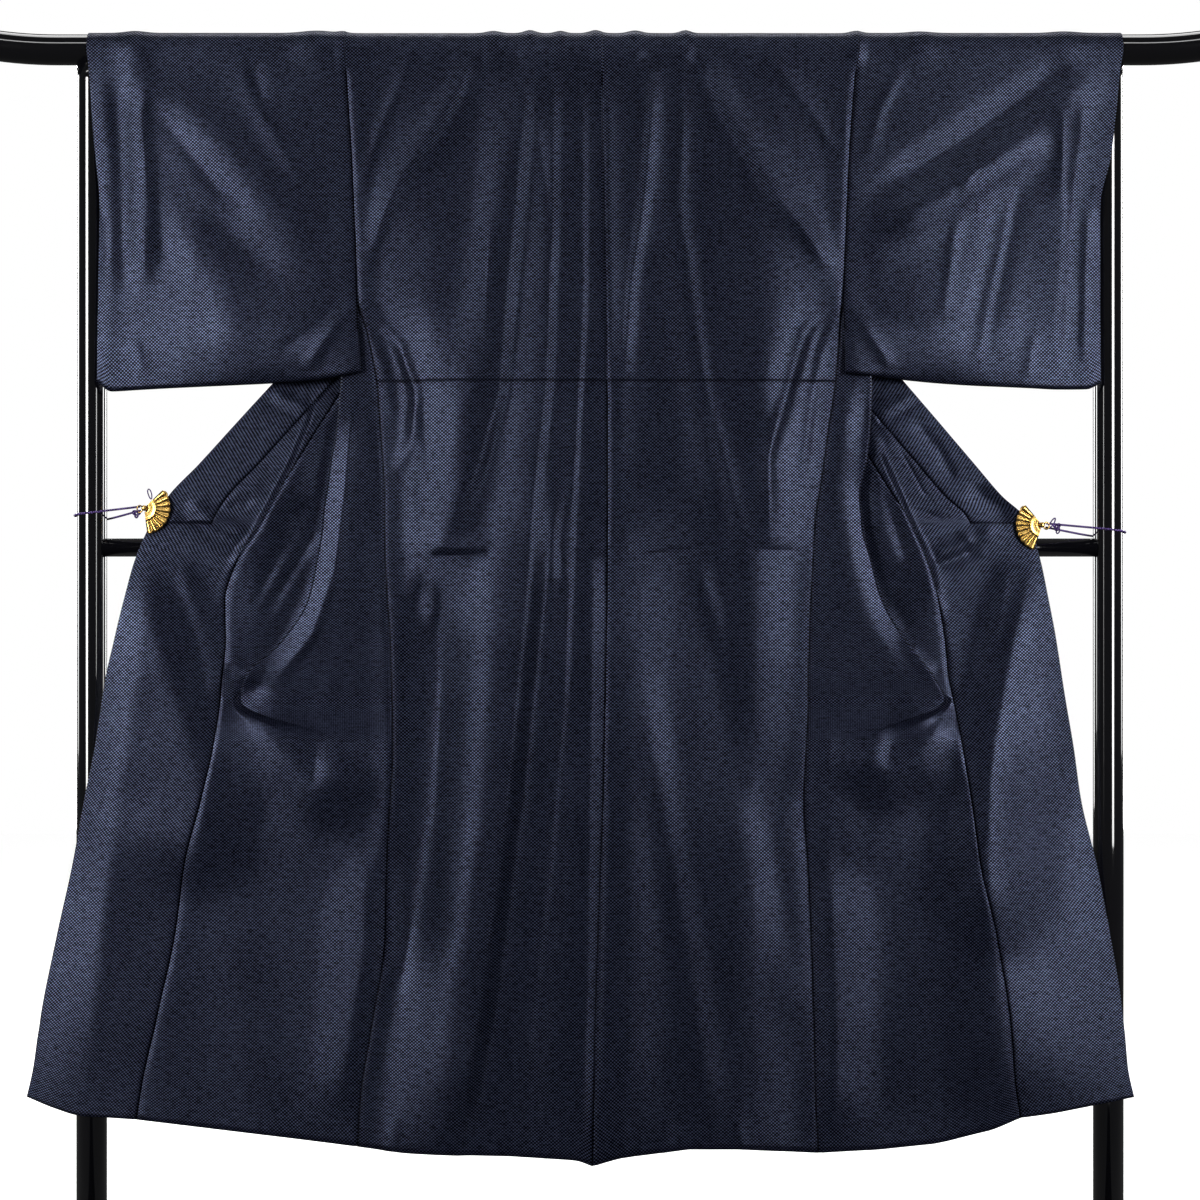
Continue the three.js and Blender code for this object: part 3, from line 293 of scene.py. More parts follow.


# Creases: kind, half width, height, points (x, z). soft: a rounded ridge or
# trough; sharp: a pressed line; step: one side stands over the other; tent: two even slopes;
# pleat: an even slope on the left of the line (right if the width is below zero, for a line
# drawn downwards) and a short steep drop on the other side; roof: the same with a longer,
# lower slope on the other side.
DROPS = {"pleat": 0.22, "roof": 2.2}
CREASE_ENDS = {"taper": 0.22, "strength": 0.12}
CORNER_EASE = 0.12
TENT_TOP = 0.93
SHARP_FALL = 1.4
STEP_GAIN = 1.65
BACK_CREASES = [
    ("pleat", 26, 4.5, [(-156, 1640), (-188, 1573), (-261, 1460), (-308, 1345)]),
    ("pleat", 12, 2, [(-240, 1634), (-282, 1540), (-316, 1440)]),
    ("pleat", 58, 7, [(-93, 1640), (-108, 1427), (-131, 1183), (-160, 1080), (-213, 975)]),
    ("pleat", 46, 5, [(-60, 1640), (-62, 1420), (-70, 1200), (-98, 940)]),
    ("pleat", 104, 15, [(-76, 1090), (-94, 916), (-120, 656), (-155, 396), (-200, 150)]),
    ("tent", 58, -12, [(-210, 965), (-208, 800), (-216, 640), (-242, 480), (-266, 400)]),
    ("pleat", 30, 2.5, [(-22, 1640), (-22, 1306), (-38, 1000), (-50, 700)]),
    ("pleat", -14, 3, [(3, 1640), (8, 1436), (12, 1190)]),
    ("pleat", -15, 3.5, [(70, 1632), (58, 1467), (38, 1330), (30, 1200)]),
    ("soft", 9, 2.2, [(106, 1638), (104, 1427), (137, 1183), (202, 940)]),
    ("pleat", -26, 5.5, [(128, 1640), (158, 1565), (230, 1435), (312, 1335)]),
    ("pleat", -14, 2.5, [(212, 1634), (276, 1548), (314, 1492)]),
    ("roof", 46, 4, [(216, 1290), (222, 1102), (234, 960)]),
    ("pleat", -84, 8, [(10, 1040), (9, 760), (4, 420), (-6, 160)]),
    ("tent", 92, -7, [(112, 1080), (132, 900), (170, 720), (200, 590)]),
    ("roof", 60, 6, [(262, 700), (272, 560), (284, 330)]),
    ("tent", 26, 2.5, [(60, 800), (96, 560), (134, 330), (150, 200)]),
    ("pleat", 24, 2.5, [(-44, 820), (-66, 560), (-92, 330), (-110, 200)]),
    ("step", 16, 2.5, [(-300, 700), (-292, 560), (-290, 420)]),
    ("sharp", 3, -1.3, [(-97, 1600), (-76, 1500), (-66, 1430), (-62, 1267)]),
    ("sharp", 3, 1, [(-142, 1420), (-150, 1250), (-152, 1205)]),
    ("soft", 8, 3.2, [(316, 1313), (267, 1265), (242, 1183), (217, 1102), (221, 980)]),
    ("soft", 7, 2.5, [(318, 1306), (290, 1240), (274, 1160), (262, 1060)]),
    ("soft", 8, 3.2, [(-316, 1305), (-261, 1248), (-238, 1183), (-246, 1118), (-278, 1070)]),
    ("soft", 6, 2, [(-316, 1296), (-284, 1220), (-268, 1140)]),
    ("sharp", 5, -3.4, [(-222, 974), (-180, 973), (-138, 978)]),
    ("soft", 8, 2.6, [(-222, 988), (-180, 986), (-138, 991)]),
    ("sharp", 5, -1.6, [(-281, 966), (-240, 968), (-222, 974)]),
    ("sharp", 5, 2, [(-52, 988), (0, 978), (52, 985)]),
    ("sharp", 4, -1.6, [(52, 978), (156, 983), (268, 979)]),
    ("soft", 8, 2.2, [(-42, 1040), (-50, 1000), (-48, 930)]),
    ("soft", 7, -2, [(-214, 966), (-232, 930), (-240, 900)]),
    ("soft", 7, 2, [(-226, 960), (-214, 920), (-222, 880)]),
    ("soft", 12, 2, [(125, 968), (140, 916), (156, 864)]),
    ("soft", 7, 1.6, [(-240, 1170), (-232, 1090), (-236, 1010)]),
    ("soft", 5, 1.2, [(92, 250), (86, 205), (84, 178)]),
    ("soft", 5, 1.2, [(-190, 250), (-184, 214), (-186, 186)]),
    ("soft", 6, 1.3, [(20, 262), (30, 214), (38, 178)]),
    ("soft", 5, 1.2, [(178, 246), (186, 206), (188, 180)]),
    ("soft", 5, 1.1, [(-96, 240), (-100, 206), (-98, 180)]),
    ("soft", 6, 1.2, [(-262, 252), (-270, 214), (-280, 190)]),
]
LEFT_CREASES = [
    ("pleat", 78, 9, [(-278, 604), (-289, 448), (-304, 227)]),
    ("roof", -80, 14, [
        (-603, 985), (-590, 910), (-572, 850), (-540, 760), (-515, 660), (-530, 520),
    ]),
    ("tent", 62, 11, [(-462, 788), (-415, 712), (-372, 668), (-345, 690), (-322, 722)]),
    ("soft", 10, 2.5, [(-552, 968), (-524, 903), (-503, 838), (-500, 770)]),
    ("roof", 60, 9, [(-588, 942), (-614, 760), (-640, 578), (-660, 409), (-676, 240)]),
    ("soft", 26, -6, [
        (-344, 1208), (-351, 1137), (-358, 1046), (-370, 962), (-404, 880), (-450, 818),
    ]),
    ("pleat", 40, 5, [(-322, 1180), (-330, 1060), (-344, 950), (-372, 870), (-430, 800)]),
    ("pleat", -46, 7, [(-342, 1202), (-367, 1176), (-403, 1085), (-448, 1001), (-486, 953)]),
    ("sharp", 5, -2.5, [(-439, 1178), (-403, 1160), (-372, 1143)]),
    ("soft", 7, 2, [(-432, 1187), (-395, 1170), (-364, 1154)]),
    ("sharp", 4, -1.8, [(-447, 1066), (-424, 1054)]),
    ("sharp", 5, -2, [(-502, 1030), (-476, 1040), (-450, 1048)]),
    ("sharp", 5, -3.2, [(-554, 1033), (-512, 1007), (-460, 976)]),
    ("soft", 9, 2.8, [(-543, 1044), (-502, 1020), (-455, 993)]),
    ("soft", 9, -5, [(-384, 1046), (-416, 988), (-455, 916)]),
    ("soft", 7, -3.5, [(-374, 1007), (-403, 955), (-439, 896)]),
    ("soft", 8, 3, [(-395, 1031), (-432, 961), (-460, 916)]),
    ("sharp", 4, 2.5, [(-421, 961), (-395, 953), (-369, 945)]),
    ("soft", 8, 3, [(-486, 851), (-470, 818), (-442, 822)]),
    ("soft", 9, -3, [(-492, 835), (-468, 796), (-430, 806)]),
    ("sharp", 4, 1.2, [(-468, 396), (-421, 334), (-374, 277)]),
]
RIGHT_CREASES = [
    ("soft", 18, -7, [(352, 1208), (346, 1137), (341, 1046), (354, 968), (376, 901), (419, 828)]),
    ("pleat", 46, 7, [(354, 1150), (364, 1105), (393, 1036), (426, 968), (447, 890)]),
    ("pleat", -80, 10, [(276, 604), (283, 396), (289, 201)]),
    ("roof", -120, 12, [(568, 974), (536, 812), (515, 682), (507, 578), (520, 396), (543, 227)]),
    ("roof", 50, 14, [(567, 979), (536, 864), (510, 734), (497, 591), (508, 440)]),
    ("roof", 84, 9, [(470, 800), (500, 640), (512, 500), (524, 340), (536, 200)]),
    ("tent", 58, 11, [(330, 730), (372, 690), (412, 712), (452, 772)]),
    ("sharp", 5, -2.5, [(354, 1139), (385, 1157), (419, 1175)]),
    ("soft", 7, 2, [(348, 1149), (380, 1167), (411, 1184)]),
    ("sharp", 3, -1.2, [(374, 1153), (398, 1104), (425, 1053), (468, 1070)]),
    ("soft", 7, 3.2, [(429, 971), (465, 985), (499, 1001), (523, 1011)]),
    ("sharp", 5, -3, [(432, 957), (468, 971), (507, 988)]),
    ("sharp", 4, 2, [(471, 1007), (488, 987), (507, 974)]),
    ("sharp", 4, -2, [(481, 968), (490, 988), (494, 1010)]),
    ("sharp", 4, -1.8, [(408, 1031), (429, 1028), (450, 1022)]),
    ("soft", 7, -1.8, [(412, 1148), (445, 1111), (463, 1071)]),
    ("soft", 11, -3.5, [(484, 1062), (507, 1046), (536, 1026)]),
    ("soft", 9, -4, [(364, 1085), (385, 1020), (406, 955)]),
    ("soft", 8, 3, [(354, 1046), (369, 974), (390, 903)]),
    ("soft", 7, -3.5, [(369, 968), (385, 916), (411, 857)]),
    ("soft", 8, 2.5, [(533, 960), (520, 906), (507, 850)]),
    ("soft", 8, 3, [(396, 870), (420, 828), (438, 822)]),
]
LEFT_SLEEVE_CREASES = [
    ("tent", 30, 2.6, [(-619, 1639), (-580, 1548), (-510, 1450), (-420, 1390)]),
    ("pleat", 44, 3.2, [(-598, 1600), (-592, 1440), (-590, 1320)]),
    ("soft", 12, -2, [(-600, 1570), (-560, 1530), (-500, 1452), (-440, 1408)]),
    ("sharp", 3, 1.2, [(-614, 1625), (-612, 1560), (-610, 1510)]),
    ("soft", 5, 1.8, [(-594, 1530), (-586, 1450), (-578, 1340)]),
    ("step", 12, 2, [(-645, 1605), (-634, 1488), (-629, 1306)]),
    ("soft", 9, 1.2, [(-473, 1618), (-439, 1540), (-390, 1468)]),
    ("soft", 10, -1.8, [(-454, 1618), (-450, 1590), (-440, 1566)]),
    ("sharp", 3, 1, [(-525, 1410), (-533, 1306), (-538, 1215)]),
    ("soft", 30, 2.5, [(-560, 1420), (-500, 1330), (-470, 1230)]),
    ("soft", 7, 2.4, [(-316, 1308), (-346, 1270), (-384, 1216)]),
    ("soft", 6, -1.8, [(-330, 1310), (-370, 1270), (-420, 1240)]),
    ("soft", 5, 1.2, [(-610, 1262), (-600, 1230), (-596, 1204)]),
]
RIGHT_SLEEVE_CREASES = [
    ("tent", 40, 6.5, [(650, 1606), (536, 1513), (442, 1445), (352, 1401)]),
    ("soft", 16, -3, [(637, 1634), (551, 1571), (468, 1511), (364, 1457)]),
    ("pleat", 44, 3, [(628, 1600), (610, 1460), (600, 1300), (596, 1205)]),
    ("sharp", 3, 1.4, [(614, 1632), (614, 1580), (612, 1520)]),
    ("soft", 5, 2, [(604, 1562), (605, 1510), (602, 1448)]),
    ("tent", 10, 1.6, [(490, 1500), (462, 1392), (446, 1280)]),
    ("pleat", 16, 1.8, [(548, 1510), (530, 1400), (508, 1300), (490, 1210)]),
    ("soft", 7, 1.4, [(396, 1618), (364, 1553), (348, 1488)]),
    ("pleat", -20, 2.2, [(636, 1440), (632, 1340), (630, 1212)]),
    ("soft", 7, 2.4, [(322, 1308), (350, 1262), (380, 1216)]),
    ("soft", 6, -1.6, [(334, 1312), (380, 1280), (430, 1262)]),
    ("soft", 5, 1.2, [(566, 1262), (560, 1230), (558, 1204)]),
]

# Small humps where the cloth is bunched over the bar: x, half width, height.
BAR_HUMPS = [
    (-611, 18, 2.5), (-372, 26, 3), (-338, 8, 2), (-140, 12, 3), (-92, 10, 4), (-52, 9, 3),
    (-6, 10, 4), (46, 12, 3.5), (112, 9, 4), (336, 10, 3), (420, 20, 2), (610, 22, 2),
]
HUMP_FADE = {"start": 1600, "length": 40}

SIDES = {
    "left": {
        "name": "left", "sign": -1, "lines": LEFT_LINES, "front_folds": LEFT_FRONT_FOLDS,
        "sleeve_folds": LEFT_SLEEVE_FOLDS, "sleeve": LEFT_SLEEVE, "bottom": LEFT_SLEEVE_BOTTOM,
        "bottom_x": (311, 657), "okumi_top": 1264, "collar_across": 78,
        "creases": LEFT_CREASES, "sleeve_creases": LEFT_SLEEVE_CREASES,
    },
    "right": {
        "name": "right", "sign": 1, "lines": RIGHT_LINES, "front_folds": RIGHT_FRONT_FOLDS,
        "sleeve_folds": RIGHT_SLEEVE_FOLDS, "sleeve": RIGHT_SLEEVE, "bottom": RIGHT_SLEEVE_BOTTOM,
        "bottom_x": (319, 654), "okumi_top": 1306, "collar_across": 75,
        "creases": RIGHT_CREASES, "sleeve_creases": RIGHT_SLEEVE_CREASES,
    },
}


# ---- small helpers -------------------------------------------------------------------
def rows_of(columns, rows):
    return [dict(zip(columns, row)) for row in rows]


def column_table(columns, rows):
    a = np.array(sorted(rows), float)
    return {name: (a[:, 0], a[:, i]) for i, name in enumerate(columns)}


def pair_table(pairs):
    a = np.array(sorted(pairs), float)
    return a[:, 0], a[:, 1]


depth_table = column_table(DEPTH_COLUMNS, DEPTHS)
centre_table = pair_table(CENTRE_SEAM)
hem_table = pair_table(HEM_LINE)


def depth_at(name, z):
    return float(np.interp(z, *depth_table[name]))


def centre_at(z):
    return float(np.interp(z, *centre_table))


def hem_at(x):
    return float(np.interp(x, *hem_table))


def settled(x, z):
    """Height of a point near the hem: the lowest rows are squeezed to end on the hem line."""
    if z >= HEM_REACH:
        return z
    hem = hem_at(x)
    return hem + (z - HEM_LEVEL) * (HEM_REACH - hem) / (HEM_REACH - HEM_LEVEL)


def lerp(a, b, t):
    return a + (b - a) * t


def smooth(t):
    s = np.clip(t, 0.0, 1.0)
    return s * s * (3 - 2 * s)


def neck_seam_at(angle):
    a = np.array(NECK_CURVE, float)
    return float(np.interp(angle, a[:, 0], a[:, 1]))


def fold_push(folds, x, z):
    """Forward push of the cloth by its large folds, for arrays of x and z."""
    total = np.zeros_like(x)
    for from_x, from_z, to_x, to_z, width, height in folds:
        dx, dz = to_x - from_x, to_z - from_z
        t = np.clip(((x - from_x) * dx + (z - from_z) * dz) / (dx * dx + dz * dz), 0, 1)
        away = np.hypot(x - from_x - dx * t, z - from_z - dz * t) / width
        taper = lerp(FOLD_END_STRENGTH, 1, smooth(np.minimum(t, 1 - t) / FOLD_END_TAPER))
        total += height * taper * np.exp(-away * away)
    return total * smooth((BAR_FADE["start"] - z) / BAR_FADE["length"])


# ---- the kimono's body, coarse rows --------------------------------------------------
def back_row(side, line, at_hem):
    """A row across one half of the back, from the centre seam to the side seam."""
    z = HEM_LEVEL if at_hem else line["z"]
    side_x = line["side"] + (HEM_SPREAD / 2 if at_hem else 0)
    row = []
    for i in range(BODY_COLUMNS + 1):
        t = i / BODY_COLUMNS
        centre = centre_at(z) + side["sign"] * HALF_GAP
        x = lerp(centre, side["sign"] * (side_x - HALF_GAP), t)
        bulge = smooth((1 - t) / BACK_BULGE_SHARE)
        y = lerp(depth_at("near", z), depth_at("middle", z), bulge)
        row.append((x, y, settled(x, z)))
    return row


def crowd(index, share):
    """Place of a column where the first FREE_COLUMNS take the given share of the row."""
    if index <= FREE_COLUMNS:
        return index / FREE_COLUMNS * share
    return lerp(share, 1, (index - FREE_COLUMNS) / (BODY_COLUMNS - FREE_COLUMNS))


def over_bar(turn, radius=SHOULDER_RADIUS):
    """Depth and height of a point that lies on the bar, by its angle from the top."""
    return radius * math.sin(turn), BAR["height"] + radius * math.cos(turn)


def bar_row(side, angle):
    inner = np.interp(BAR["height"], *column_table(SLEEVE_COLUMN_NAMES, side["sleeve"])["inner"])
    side_x = float(inner) - HALF_GAP
    if angle > 0:
        start = side["sign"] * (neck_seam_at(angle) + HALF_GAP)
    else:
        start = centre_at(BAR["height"]) + side["sign"] * HALF_GAP
    turn = math.radians(angle)
    spread = lerp(FREE_COLUMNS / BODY_COLUMNS, CROWDING["bar"], smooth(angle / 90))
    row = []
    for i in range(BODY_COLUMNS + 1):
        t = crowd(BODY_COLUMNS - i, spread) if angle > 0 else 1 - i / BODY_COLUMNS
        x = lerp(side["sign"] * side_x, start, t)
        row.append((x, *over_bar(turn)))
    return row


def between(start, end, t):
    return lerp(start[0], end[0], t), lerp(start[1], end[1], t)


def spread_along(start, end, count):
    return [between(start, end, i / count) for i in range(count)]


def turn_width(overlap):
    return max(-FOLD_RADIUS, min(FOLD_RADIUS, overlap / 2))


def ridge_turn(line, overlap):
    place, y = line["ridge"], depth_at("ridge", line["z"])
    last = (place - turn_width(overlap), y + 2 * FOLD_RADIUS)
    return [(place - FOLD_RADIUS, y), (place, y + FOLD_RADIUS), last]


def roll_turn(line, overlap=2 * FOLD_RADIUS):
    place, y = line["roll"], depth_at("seam", line["z"])
    first = (place + turn_width(overlap), y - 2 * FOLD_RADIUS)
    return [first, (place, y - FOLD_RADIUS), (place + FOLD_RADIUS, y)]


def front_start(line):
    shift = HALF_GAP if line["z"] < ARMHOLE_END else -HALF_GAP
    return (line["side"] + shift, depth_at("far", line["z"]))


def ridged_path(line, start, end):
    """The front drawn out past the back: out to a ridge, back under it to the roll, and on."""
    overlap = line["ridge"] - line["roll"]
    ridge, roll = ridge_turn(line, overlap), roll_turn(line, overlap)
    return (
        spread_along(start, ridge[0], 4) + ridge[:2]
        + spread_along(ridge[2], roll[0], 2) + roll[:2]
        + spread_along(roll[2], end, 4) + [end]
    )


def armhole_path(line, end):
    turn = ARMHOLE_TURN
    start = (line["side"] - turn["inset"], depth_at("near", line["z"]) + turn["gap"])
    corner = (start[0] - turn["lean"], start[1] + turn["depth"])
    roll = roll_turn(line)
    return (
        spread_along(start, corner, 6) + spread_along(corner, roll[0], 2) + roll[:2]
        + spread_along(roll[2], end, 4) + [end]
    )


def rolled_path(line, start, end):
    roll = roll_turn(line)
    return spread_along(start, roll[0], 8) + roll[:2] + spread_along(roll[2], end, 4) + [end]


def shoulder_path(line, start):
    end = (line["seam"] + HALF_GAP, depth_at("seam", line["z"]))
    share = CROWDING["shoulder"] if line["z"] > CROWDING["from"] else CROWDING["neck"]
    return [between(start, end, crowd(i, share)) for i in range(BODY_COLUMNS + 1)]


def front_path(line):
    """A row across the front, side seam to okumi seam, with BODY_COLUMNS + 1 points."""
    start = front_start(line)
    end = (line["seam"] - HALF_GAP, depth_at("seam", line["z"]))
    if line["z"] == ARMHOLE_END:
        return armhole_path(line, end)
    if line["ridge"] > 0:
        return ridged_path(line, start, end)
    if line["roll"] > 0:
        return rolled_path(line, start, end)
    if line["z"] > COLLAR_END:
        return shoulder_path(line, start)
    return spread_along(start, end, BODY_COLUMNS) + [end]


def place_row(side, path, z):
    return [(side["sign"] * m, y, settled(side["sign"] * m, z)) for m, y in path]


def hem_row_of(line):
    return {
        **line,
        "z": HEM_LEVEL,
        "side": line["side"] + HEM_SPREAD / 2,
        "seam": line["seam"] + HEM_SPREAD,
        "edge": line["edge"] + HEM_SPREAD,
    }


def with_collar_end(lines):
    rows = []
    for line in lines:
        rows.append(line)
        if line["z"] == COLLAR_END:
            rows.append({**line, "z": line["z"] - COLLAR_END_STEP})
    return rows


def body_grid(side):
    """Coarse rows: back hem up, over the bar, front down to the hem."""
    lines = with_collar_end(rows_of(LINE_COLUMNS, side["lines"]))
    grid = [back_row(side, lines[-1], True)]
    grid += [back_row(side, line, False) for line in reversed(lines)]
    grid += [bar_row(side, angle) for angle in BAR_TURNS]
    grid += [place_row(side, front_path(line)[::-1], line["z"]) for line in lines]
    hem = hem_row_of(lines[-1])
    grid.append(place_row(side, front_path(hem)[::-1], HEM_LEVEL))
    return np.array(grid, float)


# ---- okumi and collar, coarse rows ---------------------------------------------------
def okumi_row(side, line):
    outer = line["edge"]
    if line["z"] >= COLLAR_END:
        beside_collar = line["edge"] - side["collar_across"] - HALF_GAP
        outer = max(beside_collar, line["seam"] + OKUMI_TIP_WIDTH)
    start = (line["seam"] + HALF_GAP, depth_at("seam", line["z"]))
    share = (outer - line["seam"]) / (line["edge"] - line["seam"])
    end = (outer, lerp(start[1], depth_at("edge", line["z"]), share))
    path = spread_along(start, end, OKUMI_COLUMNS) + [end]
    return place_row(side, path, line["z"])


def okumi_grid(side):
    lines = with_collar_end(rows_of(LINE_COLUMNS, side["lines"]))
    lines = [line for line in lines if line["z"] <= side["okumi_top"]]
    return np.array([okumi_row(side, line) for line in lines + [hem_row_of(lines[-1])]], float)


def collar_flat_row(side, line):
    seam = line["seam"] + HALF_GAP
    if line["z"] <= side["okumi_top"]:
        beside_okumi = max(line["edge"] - side["collar_across"], line["seam"] + OKUMI_TIP_WIDTH)
        seam = beside_okumi + HALF_GAP
    share = (seam - line["seam"]) / (line["edge"] - line["seam"])
    lift = SEAM_GAP if line["z"] > COLLAR_TURNED_Z else 0
    start = (seam, lerp(depth_at("seam", line["z"]), depth_at("edge", line["z"]), share) + lift)
    end = (line["edge"], depth_at("edge", line["z"]))
    return place_row(side, spread_along(start, end, COLLAR_COLUMNS) + [end], line["z"])


def collar_turn_row(side, line):
    sign, z = side["sign"], line["z"]
    seam = np.array((sign * (line["seam"] - HALF_GAP), depth_at("seam", z) + SEAM_GAP, z))
    turn = np.array((sign * COLLAR_TURN["x"], COLLAR_TURN["y"], z))
    edge = np.array((sign * line["edge"], COLLAR_TURN["edge_y"], z - COLLAR_TURN["drop"]))
    back = lerp(turn, edge, COLLAR_TURN["bend"]) + np.array((0, FOLD_RADIUS, 0))
    half = [seam, lerp(seam, turn, 1 / 3), lerp(seam, turn, 2 / 3), turn]
    return [tuple(p) for p in half + [back, lerp(back, edge, 0.5), edge]]


def collar_hanging_row(side, angle, seam_x, edge_x, edge_z):
    turn = math.radians(angle) + 2 * SEAM_GAP / SHOULDER_RADIUS
    arc = (math.pi / 2 - turn) * SHOULDER_RADIUS
    drop = BAR["height"] - edge_z
    row = []
    for i in range(COLLAR_COLUMNS + 1):
        t = i / COLLAR_COLUMNS
        walked = (arc + drop) * t
        x = side["sign"] * lerp(seam_x, edge_x, t)
        if walked < arc:
            a = turn + walked / SHOULDER_RADIUS
            r = lerp(COLLAR_SEAM_RADIUS, COLLAR_BEND_RADIUS, min(1, t * COLLAR_COLUMNS))
            row.append((x, *over_bar(a, r)))
        else:
            start, end = (COLLAR_BEND_RADIUS, BAR["height"]), (COLLAR_HANG_DEPTH, edge_z)
            row.append((x, *between(start, end, (walked - arc) / drop)))
    return row


def collar_shoulder_row(side, line):
    sign, z = side["sign"], line["z"]
    seam = np.array((sign * (line["seam"] - HALF_GAP), depth_at("seam", z), z))
    edge = np.array((sign * line["edge"], depth_at("edge", z), COLLAR_FIRST_EDGE_Z))
    return [tuple(lerp(seam, edge, i / COLLAR_COLUMNS)) for i in range(COLLAR_COLUMNS + 1)]


def collar_half(side):
    rows = [
        collar_hanging_row(side, angle, seam - HALF_GAP, edge, z)
        for angle, seam, edge, z in NECK_CURVE if angle > 0
    ]
    lines = [line for line in rows_of(LINE_COLUMNS, side["lines"]) if line["z"] >= COLLAR_END]
    rows += [collar_shoulder_row(side, lines[0]), collar_turn_row(side, lines[1])]
    return rows + [collar_flat_row(side, line) for line in lines[2:]]


def collar_grid():
    middle = collar_hanging_row(SIDES["right"], 0, 0, 0, NECK_CURVE[0][3])
    middle = [(centre_at(BAR["height"]), y, z) for _, y, z in middle]
    left, right = (collar_half(SIDES[name]) for name in ("left", "right"))
    return np.array(left[::-1] + [middle] + right, float)


# ---- sleeves, coarse rows ------------------------------------------------------------
def sleeve_shares():
    edge = SLEEVE_EDGE_SHARE
    inner = [(i + 0.5) / (SLEEVE_COLUMNS - 1) for i in range(SLEEVE_COLUMNS - 1)]
    return [0, edge] + inner + [1 - edge, 1]


def sleeve_middle(t):
    return smooth(min(t, 1 - t) / SLEEVE_MIDDLE_SHARE)


def sleeve_inner_depth(z, near):
    if z > ARMHOLE_END:
        return depth_at("near" if near else "far", z)
    middle = SLEEVE_ARMHOLE_DEPTH if z == ARMHOLE_END else SLEEVE_INNER_DROP
    return middle + (-SLEEVE_HALF_GAP if near else SLEEVE_HALF_GAP)


def sleeve_point(side, row, t, near):
    z = row["z"]
    outer = row["near_outer"] if near else row["far_outer"]
    x = side["sign"] * lerp(row["inner"] + HALF_GAP, outer, t)
    outer_y = row["near_outer_y"] if near else row["far_outer_y"]
    straight = lerp(sleeve_inner_depth(z, near), outer_y, smooth(t))
    if not near:
        return (x, lerp(straight, row["far_middle_y"], sleeve_middle(t)), z)
    below_bar = smooth((BAR_FADE["start"] - z) / BAR_FADE["sleeve_length"])
    bulge = SLEEVE_NEAR_BULGE * sleeve_middle(t) * below_bar
    return (x, straight - bulge, z)


def sleeve_bottom_point(side, t, place):
    m = lerp(side["bottom_x"][0], side["bottom_x"][1], t)
    depths = SLEEVE_BOTTOM_DEPTHS
    ends = lerp(depths["inner"], depths["outer"], smooth(t))
    y = lerp(ends, depths["middle"], sleeve_middle(t))
    z = float(np.interp(m, *pair_table(side["bottom"])))
    z -= SLEEVE_TURN_DROP if place == 0 else 0
    return (side["sign"] * m, y + place * SLEEVE_BOTTOM_HALF, z)


def sleeve_bar_point(side, row, angle, t):
    outer = lerp(row["near_outer"], row["far_outer"], (angle + 90) / 180)
    x = side["sign"] * lerp(row["inner"] + HALF_GAP, outer, t)
    return (x, *over_bar(math.radians(angle)))


def sleeve_grid(side):
    """Coarse rows: bottom turn, near cloth up, over the bar, far cloth down, bottom turn."""
    shares = sleeve_shares()
    rows = rows_of(SLEEVE_COLUMN_NAMES, side["sleeve"])
    grid = [[sleeve_bottom_point(side, t, place) for t in shares] for place in (0, -1)]
    grid += [[sleeve_point(side, row, t, True) for t in shares] for row in rows[:0:-1]]
    grid += [[sleeve_bar_point(side, rows[0], angle, t) for t in shares] for angle in BAR_TURNS]
    grid += [[sleeve_point(side, row, t, False) for t in shares] for row in rows[1:]]
    grid += [[sleeve_bottom_point(side, t, place) for t in shares] for place in (1, 0)]
    return np.array(grid, float)


# ---- smooth fine grids ---------------------------------------------------------------
def monotone_slopes(steps, values):
    """Slopes of a curve through the values that doesn't overshoot them."""
    rise = np.diff(values, axis=0) / steps
    inner = np.where(rise[1:] * rise[:-1] > 0, 1, 0)
    before, after = steps[:-1], steps[1:]
    a, b = 2 * after + before, after + 2 * before
    safe = np.where(inner, 1, np.nan)
    with np.errstate(all="ignore"):
        middle = (a + b) / (a / (rise[:-1] * safe) + b / (rise[1:] * safe))
    middle = np.where(inner, middle, 0)
    return np.concatenate([rise[:1], np.nan_to_num(middle), rise[-1:]])


def resample(values, at, wanted):
    """Values (n, ...) given at places (n,) along the first axis, read off at wanted places."""
    steps = np.diff(at).reshape(-1, *[1] * (values.ndim - 1))
    slopes = monotone_slopes(steps, values)
    i = np.clip(np.searchsorted(at, wanted, side="right") - 1, 0, len(at) - 2)
    shape = (-1, *[1] * (values.ndim - 1))
    h = steps[i]
    t = ((wanted - at[i]) / (at[i + 1] - at[i])).reshape(shape)
    h00, h10 = 2 * t**3 - 3 * t**2 + 1, t**3 - 2 * t**2 + t
    h01, h11 = -2 * t**3 + 3 * t**2, t**3 - t**2
    return h00 * values[i] + h10 * h * slopes[i] + h01 * values[i + 1] + h11 * h * slopes[i + 1]


def even_places(at, spacing):
    """Places along a line, the given ones kept and the spaces between them shared out."""
    places = [at[0]]
    for low, high in zip(at[:-1], at[1:]):
        count = max(1, int(round((high - low) / spacing)))
        places += [lerp(low, high, k / count) for k in range(1, count + 1)]
    return np.array(places)


def with_edge_places(places):
    """Adds places close to both ends, where the cloth turns in at its seams."""
    extra = [places[0] + inset for inset in EDGE_INSETS]
    extra += [places[-1] - inset for inset in EDGE_INSETS]
    return np.unique(np.concatenate([places, extra]))


def row_places(grid):
    middle = grid[:, grid.shape[1] // 2]
    gaps = np.linalg.norm(np.diff(middle, axis=0), axis=1)
    return np.concatenate([[0], np.cumsum(np.maximum(gaps, 1.0))])


def close_rows(grid, at, heights):
    """Row places close to the heights on the back, where the cloth has a sharp line."""
    middle = grid[:, grid.shape[1] // 2, 2]
    top = int(np.argmax(middle)) + 1
    return [np.interp(height, middle[:top], at[:top]) + np.array(CLOSE_ROWS) for height in heights]


